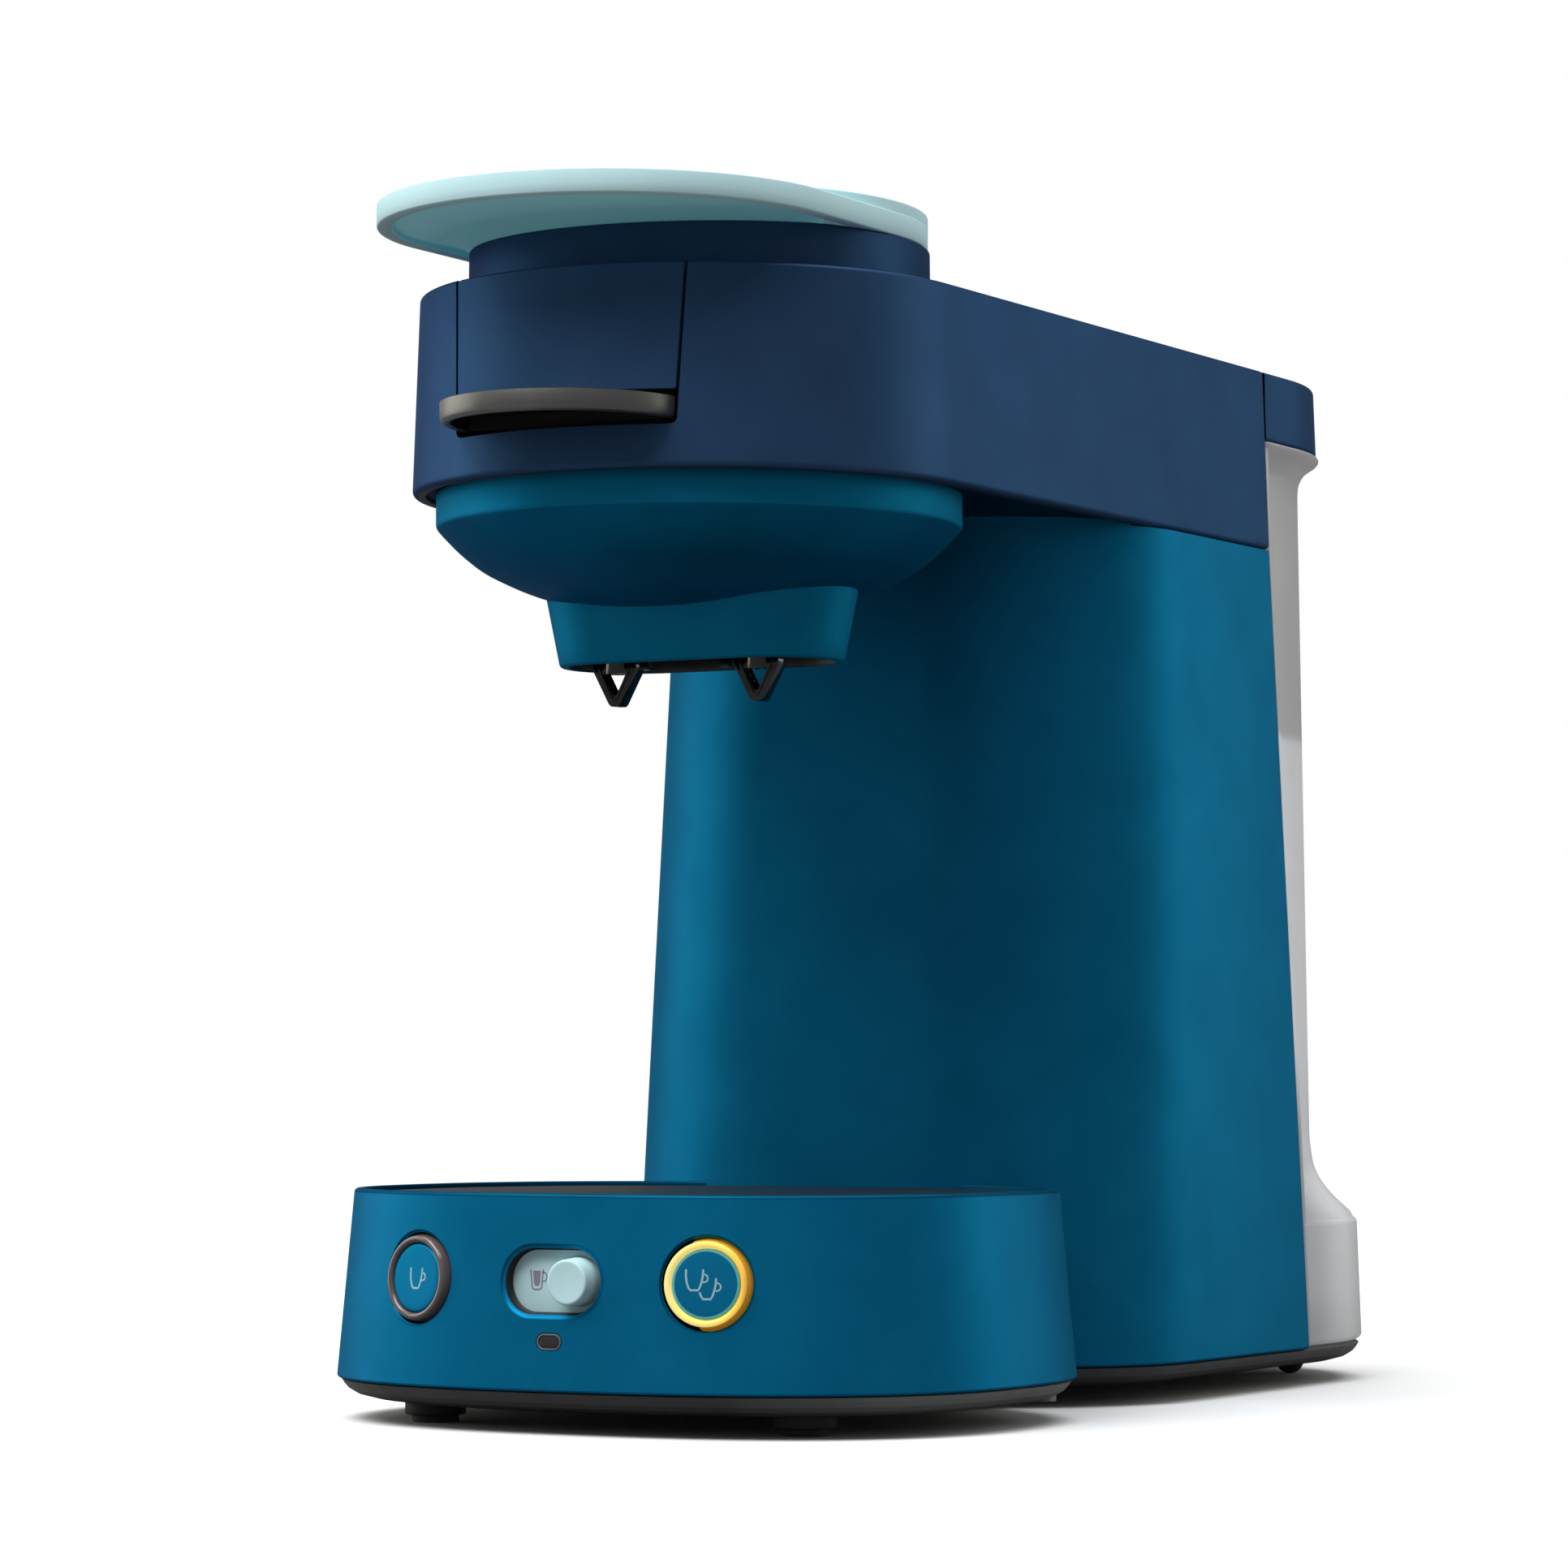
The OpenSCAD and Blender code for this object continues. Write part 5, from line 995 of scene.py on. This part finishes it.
# cross members below the ribs
for xx in (-44, -22, 0, 22, 44):
    ys = [y for y in [-60 + i * .5 for i in range(240)] if inside(edge, xx, y)]
    if ys:
        prof = [(ys[0] - .3, 42.78), (ys[-1] + .3, 42.78), (ys[-1] + .3, 43.9), (ys[0] - .3, 43.9)]
        prism_x(b, xx - .8, xx + .8, prof)
b.done("grid_ribs", "grid", "black", "cup_grid", fix=True)

b = Build()
b.loft([plate_loop(41.1, 2.5), plate_loop(44.5, 2.5), plate_loop(44.72, 2.56), plate_loop(44.82, 2.7), plate_loop(44.85, 2.95), plate_loop(44.85, 3.9), plate_loop(44.8, 4.15),
        plate_loop(44.65, 4.3), plate_loop(42.7, 4.35)], closed=True)
def tub(z, d, n=160):
    a, bb = 59.26 - d, 42.66 - d
    out = []
    for i in range(n):
        t = 2 * pi * (i + .5) / n
        c, s = math.cos(t), math.sin(t)
        x = math.copysign(a * abs(c) ** (2 / NP), c); y = 6.64 + math.copysign(bb * abs(s) ** (2 / NP), s)
        out.append((x, min(y, col_y(x, z) - .6)))
    return at_z(out, z)
fl0 = b.ring(plate_loop(42.7, 4.35, n=160)); fl1 = b.ring(tub(42.65, 1.4))
k0 = min(range(160), key=lambda i: (b.v[fl0[i]][0] - b.v[fl1[0]][0]) ** 2 + (b.v[fl0[i]][1] - b.v[fl1[0]][1]) ** 2)
fl0 = fl0[k0:] + fl0[:k0]
b.strip(fl0, fl1, True)
b.loft([fl1, tub(42.3, 1.6), tub(18, 1.66), tub(16, 2.4), tub(15.1, 4.0), tub(14.94, 7)], cap1=True)
b.loft([tub(41.2, 0), tub(17, 0), tub(14.8, .9), tub(13.6, 3), tub(13.28, 6)], cap1=True, flip=False)
b.done("tray_basin", "tray", "black", "drip_tray", fix=True)

# ---------------------------------------------------------------- controls
def lathe_on(b, O, U, V, D, rows, n=96, mats=None, cap=True):
    rings = [b.ring([tuple(O + U * (r * math.cos(2 * pi * i / n)) + V * (r * math.sin(2 * pi * i / n)) + D * d) for i in range(n)]) for r, d in rows]
    for i in range(len(rings) - 1):
        mt = mats[i] if mats else 0
        k = n
        for j in range(k):
            jj = (j + 1) % k
            mm = mt(2 * pi * (j + .5) / n) if callable(mt) else mt
            b.face((rings[i][j], rings[i + 1][j], rings[i + 1][jj], rings[i][jj]), mm)
    if cap:
        b.face(rings[0], mats[0] if mats and not callable(mats[0]) else 0)
    return rings


def stroke(b, O, U, V, D, path, w, h0, h1, mat=0):
    """A thin raised line with round ends along a path in (u, v). w is a width, or a list of widths."""
    m = len(path)
    ws = w if isinstance(w, list) else [w] * m
    left, right = [], []
    for i in range(m):
        a, c = Vector(path[max(0, i - 1)]), Vector(path[min(m - 1, i + 1)])
        t = (c - a).normalized(); nrm = Vector((-t.y, t.x))
        p = Vector(path[i])
        left.append(p + nrm * ws[i] / 2); right.append(p - nrm * ws[i] / 2)
    def cap_pts(p, t, w):
        a0 = math.atan2(t.y, t.x)
        return [p + Vector((math.cos(a0 + x), math.sin(a0 + x))) * w / 2 for x in [pi / 2 - pi * i / 6 for i in range(1, 6)]]
    t1 = (Vector(path[-1]) - Vector(path[-2])).normalized(); t0 = (Vector(path[0]) - Vector(path[1])).normalized()
    ringpts = right + cap_pts(Vector(path[-1]), t1, ws[-1])[::-1] + left[::-1] + cap_pts(Vector(path[0]), t0, ws[0])[::-1]
    lo = b.ring([tuple(O + U * p.x + V * p.y + D * h0) for p in ringpts])
    hi = b.ring([tuple(O + U * p.x + V * p.y + D * h1) for p in ringpts])
    b.strip(lo, hi, True, mat)
    nl = len(left)
    e = 5
    for i in range(nl - 1):
        r0, r1 = hi[i], hi[i + 1]
        l0, l1 = hi[nl + e + nl - 1 - i], hi[nl + e + nl - 2 - i]
        b.face((r0, r1, l1, l0), mat)
    b.face([hi[nl - 1]] + hi[nl:nl + e] + [hi[nl + e]], mat)
    b.face([hi[2 * nl + e - 1]] + hi[2 * nl + e:] + [hi[0]], mat)


def cup_path(x0, x1, yt, yb, lean=.14, rb=.9, n=7):
    """A cup drawn as a line: down the left side, round the bottom and up the right."""
    w = x1 - x0
    lx, rx = x0 + lean * w, x1 - lean * w
    pts = [(x0, yt), (x0 + (lx - x0) * .5, yt - (yt - yb) * .45), (x0 + (lx - x0) * .9, yb + rb)]
    for i in range(1, n + 1):
        t = i / n
        pts.append((lx - .1 + (rb) * (1 - math.cos(t * pi / 2)) * 1.0, yb + rb * (1 - math.sin(t * pi / 2))))
    for i in range(0, n + 1):
        t = i / n
        pts.append((rx + .1 - rb * (1 - math.sin(t * pi / 2)), yb + rb * (1 - math.cos(t * pi / 2))))
    pts += [(x1 - (x1 - rx) * .5, yt - (yt - yb) * .45), (x1, yt)]
    return pts


def handle_path(x, yt, w, h, n=12):
    return [(x + w * math.sin(pi * i / n) ** .8, yt - h * (1 - math.cos(pi * i / n)) / 2) for i in range(n + 1)]


CUP = [(-1.53, 1.75), (-1.52, .65), (-1.4, -.25), (-1.2, -1.05), (-.95, -1.6), (-.65, -2.0), (.85, -2.0), (1.13, -1.6), (1.42, -.85), (1.62, -.1), (1.75, .8), (1.8, 1.75)]
EAR = [(1.88, 1.0), (2.2, .95), (2.55, .72), (2.75, .25), (2.62, -.2), (2.28, -.42), (1.84, -.5)]
for s, nm in ((-1, "one"), (1, "two")):
    O, U, V, D = button_frame(s)
    b = Build()
    rows = [(.4, .33), (3, .325), (5.2, .31), (6.1, .285), (6.4, .24), (6.56, .13), (6.64, -.05), (6.66, -.4), (6.66, -3.5)]
    lathe_on(b, O, U, V, D, rows)
    b.done(f"button_{nm}_cap_face", f"button_{nm}", "cap", f"button_{nm}_cap")
    b = Build()
    tube = [(6.72, -3.6), (6.74, -.1), (6.8, .28), (6.96, .58), (7.2, .77), (7.5, .83), (7.8, .76), (8.03, .56), (8.17, .28), (8.27, -.1), (8.42, -.7), (8.6, -1.4), (8.68, -2.2), (8.7, -4.1)]
    if s < 0:
        mats = [0] * 13
        names = ["ring_dark"]
    else:
        # the left of the lit ring's outer slope is black: a painted shadow
        side = lambda a: 1 if math.cos(a - .12) > -.22 else 2
        mats = [0] * 7 + [side] * 6
        names = ["ring_lit", "ring_amber", "gap"]
    lathe_on(b, O, U, V, D, tube, mats=mats, cap=False)
    b.done(f"button_{nm}_light_ring", f"button_{nm}", names, f"button_{nm}_ring", sharp=60)
    b = Build()
    F = .335
    if s < 0:
        stroke(b, O, U, V, D, CUP, .38, .2, F + .03)
        stroke(b, O, U, V, D, EAR, .3, .2, F + .03)
    else:
        stroke(b, O, U, V, D, [(u - 2.35, v + .85) for u, v in CUP], .38, .2, F + .03)
        stroke(b, O, U, V, D, [(u - 2.35, v + .85) for u, v in EAR], .3, .2, F + .03)
        stroke(b, O, U, V, D, [(-1.12, -1.65), (-.85, -2.3), (-.47, -2.8), (1.0, -2.8), (1.35, -2.2), (1.65, -1.3), (1.88, -.3), (1.98, 1.0)], .38, .2, F + .03)
        stroke(b, O, U, V, D, [(u + .2, v - .75) for u, v in EAR], .3, .2, F + .03)
    b.done(f"button_{nm}_mark", f"button_{nm}", "icon", fix=True)
    if s > 0:
        # a glowing sheet on the edge of the button's face: painted light from the lit ring
        b = Build()
        lathe_on(b, O, U, V, D, [(6.1, .3), (6.3, .305), (6.5, .24), (6.6, .1), (6.68, -.1)], cap=False)
        b.done("button_two_glow", "button_two", "glow")

b = Build()
box_loops = []
SX0, SX1, SZ = -12.0, 21.3, 7.35
def slab(y, d):
    x0, x1, z0, z1 = SX0 + d, SX1 - d, 29.15 - SZ + d, 29.15 + SZ - d
    q = corner((x0, z0), (x0, z1), (x1, z0), 1) + corner((x1, z0), (x0, z0), (x1, z1), 1) + corner((x1, z1), (x1, z0), (x0, z1), 1) + corner((x0, z1), (x1, z1), (x0, z0), 1)
    return [(x, y, z) for x, z in q]
b.loft([slab(-51.75, .2), slab(-51.95, 0), slab(-53.15, 0), slab(-53.32, .08), slab(-53.37, .25)], cap0=True, cap1=True)
O, U, V, D = Vector((5.06, -53.2, 29.15)), Vector((1, 0, 0)), Vector((0, 0, 1)), Vector((0, -1, 0))
kn = [(.3, 5.28), (2.4, 5.32), (3.6, 5.4), (3.95, 5.42), (4.18, 5.34), (4.3, 5.16), (4.34, 4.9), (4.45, 3.4), (4.6, 1.6), (4.7, .4), (4.85, .12), (5.1, -.15)]
lathe_on(b, O, U, V, D, kn)
b.done("selector_knob", "selector", "aqua", "selector_slider", fix=True)
b = Build()
O = Vector((-4.6, -53.37, 29.25))
stroke(b, O, U, V, D, cup_path(-1.45, 1.35, 1.9, -1.75, rb=.7), .3, -.05, .03)
stroke(b, O, U, V, D, handle_path(1.35, 1.5, .8, 1.7), .28, -.05, .03)
fill = [(-.92, 1.8), (-.75, -.4), (-.5, -1.1), (.4, -1.1), (.65, -.4), (.82, 1.8)]
ids = b.ring([tuple(O + U * u + V * v + D * .03) for u, v in fill]); ids2 = b.ring([tuple(O + U * u + V * v - D * .05) for u, v in fill])
b.face(ids); b.strip(ids2, ids, True)
b.done("selector_mark", "selector", "icon_mauve", fix=True)

b = Build()
def st(y, off):
    return [(.33 + x, y, 17.76 + z) for x, z in stadium_pts(2.7, 1.58, off, 16)]
ys = drum_y(.33, 17.76)
rings = b.loft([st(ys + 4, -.02), st(ys + .12, -.02), st(ys - .02, -.06), st(ys - .07, -.16), st(ys - .05, -.3), st(ys + .02, -.36), st(ys + .1, -.4), st(ys - .02, -.75), st(ys - .06, -1.1), st(ys - .08, -1.5)],
               mats=[1, 1, 1, 1, 1, 0, 0, 0, 0], cap1=True)
b.done("indicator_window", "frame", ["lens", "lens_rim"], "indicator_lens", fix=True)

# ------------------------------------------------------------------- skirt
b = Build()
def foot_loop(z, d, n=36):
    zz = 8.3
    h, f = half_w(zz), col_front(zz)
    a = arcpts(-(h - 41.5), f + 41.5, 41.5 - d, 180, 270, n)
    c = arcpts(h - 41.5, f + 41.5, 41.5 - d, 270, 360, n)
    e = arcpts(0, 171.4, h - d, 0, 180, 90)
    return at_z(a + [(0, f + d)] + c + e, z)
def drum_full(z, d, n=260):
    a, bb = drum_ab(8.3, d)
    dense = []
    for i in range(1200):
        t = 2 * pi * (i + .5) / 1200
        c, s = math.cos(t), math.sin(t)
        dense.append((math.copysign(a * abs(c) ** (2 / NP), c), 2.91 + math.copysign(bb * abs(s) ** (2 / NP), s)))
    length = [0]
    for i in range(len(dense)):
        p, q = dense[i], dense[(i + 1) % len(dense)]
        length.append(length[-1] + math.hypot(q[0] - p[0], q[1] - p[1]))
    out, k = [], 0
    for i in range(n):
        sq = length[-1] * i / n
        while length[k + 1] < sq:
            k += 1
        fq = (sq - length[k]) / max(1e-9, length[k + 1] - length[k])
        p, q = dense[k], dense[(k + 1) % len(dense)]
        out.append((p[0] + (q[0] - p[0]) * fq, p[1] + (q[1] - p[1]) * fq))
    return at_z(out, z)
sk = [(3.66, 20), (3.66, 14.0)] + smooth([(3.68, 13.0), (3.9, 10.6), (4.3, 7.6), (4.95, 4.8), (5.8, 3.0), (6.6, 2.05), (7.4, 1.35), (8.0, .95)], 3) + [(8.1, 1.05), (8.15, 1.4), (8.15, 3)]
b.loft([drum_full(z, d) for z, d in sk], cap0=True, cap1=True)
b.loft([foot_loop(z, d) for z, d in sk], cap0=True, cap1=True)
b.done("base_skirt", "frame", "skirt_lit")

# ridges on the outlet frames, and the two small brackets between them
for sx, nm in ((-1, "left"), (1, "right")):
    b = Build()
    O, U, V, D = Vector((sx * 16.35, -5.81, 0)), Vector((1, 0, 0)), Vector((0, 0, 1)), Vector((0, -1, 0))
    inner = [(-3.75, 150.7), (-3.3, 149.2), (-.95, 144.3), (-.55, 143.75), (0, 143.55), (.55, 143.75), (.95, 144.3), (3.3, 149.2), (3.75, 150.7)]
    stroke(b, O, U, V, D, inner, .42, -.1, .32)
    b.done(f"outlet_ridge_{nm}", "frame", "gloss", fix=True)
b = Build()
for sx in (-1, 1):
    prism_x(b, sx * 9.2 - 1.05, sx * 9.2 + 1.05, [(-6.2, 149.25), (-4.9, 149.25), (-4.9, 153.6), (-6.2, 153.6)], r=.18)
    prism_x(b, sx * 9.2 - .35, sx * 9.2 + .35, [(-6.5, 149.6), (-6.1, 149.6), (-6.1, 153.6), (-6.5, 153.6)], r=.12)
b.done("outlet_brackets", "frame", "gloss", fix=True)

# -------------------------------------------------- smaller parts, softened
for node, mat, body, slot, w in [
        ("spout_insert", "gloss", "frame", "black_plastic", .25), ("nozzle_left", "gloss", "frame", "black_plastic", .3), ("nozzle_right", "gloss", "frame", "black_plastic", .3),
        ("foot_front_left", "rubber", "frame", "foot_rubber", .3), ("foot_front_right", "rubber", "frame", "foot_rubber", .3),
        ("foot_rear_left", "rubber", "frame", "foot_rubber", .2), ("foot_rear_right", "rubber", "frame", "foot_rubber", .2),
        ("hinge_bracket", "navy_dark", "frame", "navy_plastic", .25), ("cord_gland", "black", "frame", "black_plastic", .3)]:
    bevelled(node, mat, body, w)

# -------------------------------------------- finishes of the CAD nodes kept
# head_underside keeps the darker teal of painted shade, base_plate the lighter skirt grey with its painted highlight,
# and front_lining the black of painted gap shade
KEEP = {"base_plate": "skirt_lit", "base_screw_front_left": "steel", "base_screw_front_right": "steel", "base_screw_rear_left": "steel", "base_screw_rear_right": "steel",
        "control_board": "board", "head_underside": "under", "brew_chamber": "black", "front_lining": "gap", "pad_holder": "black", "lid_pin": "steel",
        "boiler": "boiler", "boiler_cover": "boiler", "thermostat_upper": "white", "thermostat_lower": "white", "pump": "steel", "pump_mount_left": "rubber",
        "pump_mount_right": "rubber", "hose_inlet": "hose", "hose_rising": "hose", "hose_head": "hose", "main_board": "board", "tank_seat": "black",
        "lid_collar": "navy_dark", "shower_plate": "steel", "lid_seal": "rubber", "lever_pin": "steel", "valve_cage": "white", "valve_plunger": "white",
        "tank_lid_pin": "steel", "drum_shell": "teal", "tray_deck": "skirt", "indicator_lens": "lens", "column_shell": "teal", "head_shell": "navy", "coffee_collector": "teal_bowl",
        "spout_insert": "gloss", "nozzle_left": "gloss", "nozzle_right": "gloss", "foot_front_left": "rubber", "foot_front_right": "rubber", "foot_rear_left": "rubber",
        "foot_rear_right": "rubber", "hinge_bracket": "navy_dark", "cord_gland": "black", "lid_panel": "navy", "lid_grip": "grip", "lever": "aqua", "water_tank": "frost",
        "tank_lid": "navy", "drip_tray": "black", "cup_grid": "black", "button_one_cap": "teal", "button_two_cap": "teal", "button_one_ring": "ring_dark",
        "button_two_ring": "ring_lit", "selector_slider": "aqua"}
for n, ob in nodes.items():
    for sl in ob.material_slots:
        sl.material = M[KEEP[n]]

# ------------------------------------------------- floor, light and camera
me = bpy.data.meshes.new("floor")
me.from_pydata([(-6, -6, 0), (6, -6, 0), (6, 6, 0), (-6, 6, 0)], [], [(0, 1, 2, 3)])
floor = bpy.data.objects.new("floor", me)
bpy.context.scene.collection.objects.link(floor)
fm = bpy.data.materials.new("floor_pale"); fm.use_nodes = True
fp = fm.node_tree.nodes["Principled BSDF"]
fp.inputs["Roughness"].default_value = .8
fp.inputs["Specular IOR Level"].default_value = .05
# the floor is pale to look at, and sends little light back up, as a dark studio would
fl_ = fm.node_tree.nodes.new("ShaderNodeLightPath"); fx_ = fm.node_tree.nodes.new("ShaderNodeMix"); fx_.data_type = "RGBA"
fx_.inputs[6].default_value = (.14, .14, .14, 1); fx_.inputs[7].default_value = (.84, .84, .84, 1)
fm.node_tree.links.new(fl_.outputs["Is Camera Ray"], fx_.inputs[0]); fm.node_tree.links.new(fx_.outputs[2], fp.inputs["Base Color"])
me.materials.append(fm)


def lamp(name, az, el, dist, w, h, power, target=(0, 0, .12), color=(1, 1, 1), spread=180):
    a, e = math.radians(az), math.radians(el)
    t = Vector(target)
    p = t + Vector((math.sin(a) * math.cos(e), -math.cos(a) * math.cos(e), math.sin(e))) * dist
    d = bpy.data.lights.new(name, "AREA")
    d.shape = "RECTANGLE"; d.size = w; d.size_y = h; d.energy = power; d.color = color[:3]; d.spread = math.radians(spread)
    o = bpy.data.objects.new(name, d)
    o.location = p
    o.rotation_euler = (t - p).to_track_quat("-Z", "Y").to_euler()
    bpy.context.scene.collection.objects.link(o)
    return o


lamp("key_left", -80, 12, 1.1, .85, 1.1, 5.2, color=(1, .98, .88))
lamp("side_right", 136, 12, 1.3, .7, 1.0, 4.1, color=(1, .98, .86))
lamp("front_fill", -20, 50, 1.5, 1.1, .7, 17)
sd = bpy.data.lights.new("overhead", "SUN"); sd.energy = 3.2; sd.angle = math.radians(75)
so = bpy.data.objects.new("overhead", sd); so.location = (0, 0, 3); so.rotation_euler = (0, 0, 0)
bpy.context.scene.collection.objects.link(so)
w = bpy.data.worlds.new("studio"); bpy.context.scene.world = w; w.use_nodes = True
wn_, wl_ = w.node_tree.nodes, w.node_tree.links
bg = wn_["Background"]; out = wn_["World Output"]
bg.inputs["Color"].default_value = (1, 1, 1, 1); bg.inputs["Strength"].default_value = 1.0
bg2 = wn_.new("ShaderNodeBackground"); bg2.inputs["Color"].default_value = (.9, .95, 1, 1); bg2.inputs["Strength"].default_value = .24
lp_ = wn_.new("ShaderNodeLightPath"); mx = wn_.new("ShaderNodeMixShader")
wl_.new(lp_.outputs["Is Camera Ray"], mx.inputs[0]); wl_.new(bg2.outputs[0], mx.inputs[1]); wl_.new(bg.outputs[0], mx.inputs[2])
wl_.new(mx.outputs[0], out.inputs["Surface"])

cd = bpy.data.cameras.new("camera"); cam = bpy.data.objects.new("camera", cd)
bpy.context.scene.collection.objects.link(cam)
cd.lens = 120.166; cd.sensor_width = 36; cd.sensor_fit = "HORIZONTAL"; cd.clip_start = .05; cd.clip_end = 30
cam.location = (.52576, -.98251, .06911)
az, pt = math.radians(29.235), math.radians(3.136)
cam.rotation_euler = Vector((-math.sin(az) * math.cos(pt), math.cos(az) * math.cos(pt), math.sin(pt))).to_track_quat("-Z", "Y").to_euler()
bpy.context.scene.camera = cam
bpy.context.scene.view_settings.view_transform = "Standard"
bpy.context.scene.view_settings.look = "None"
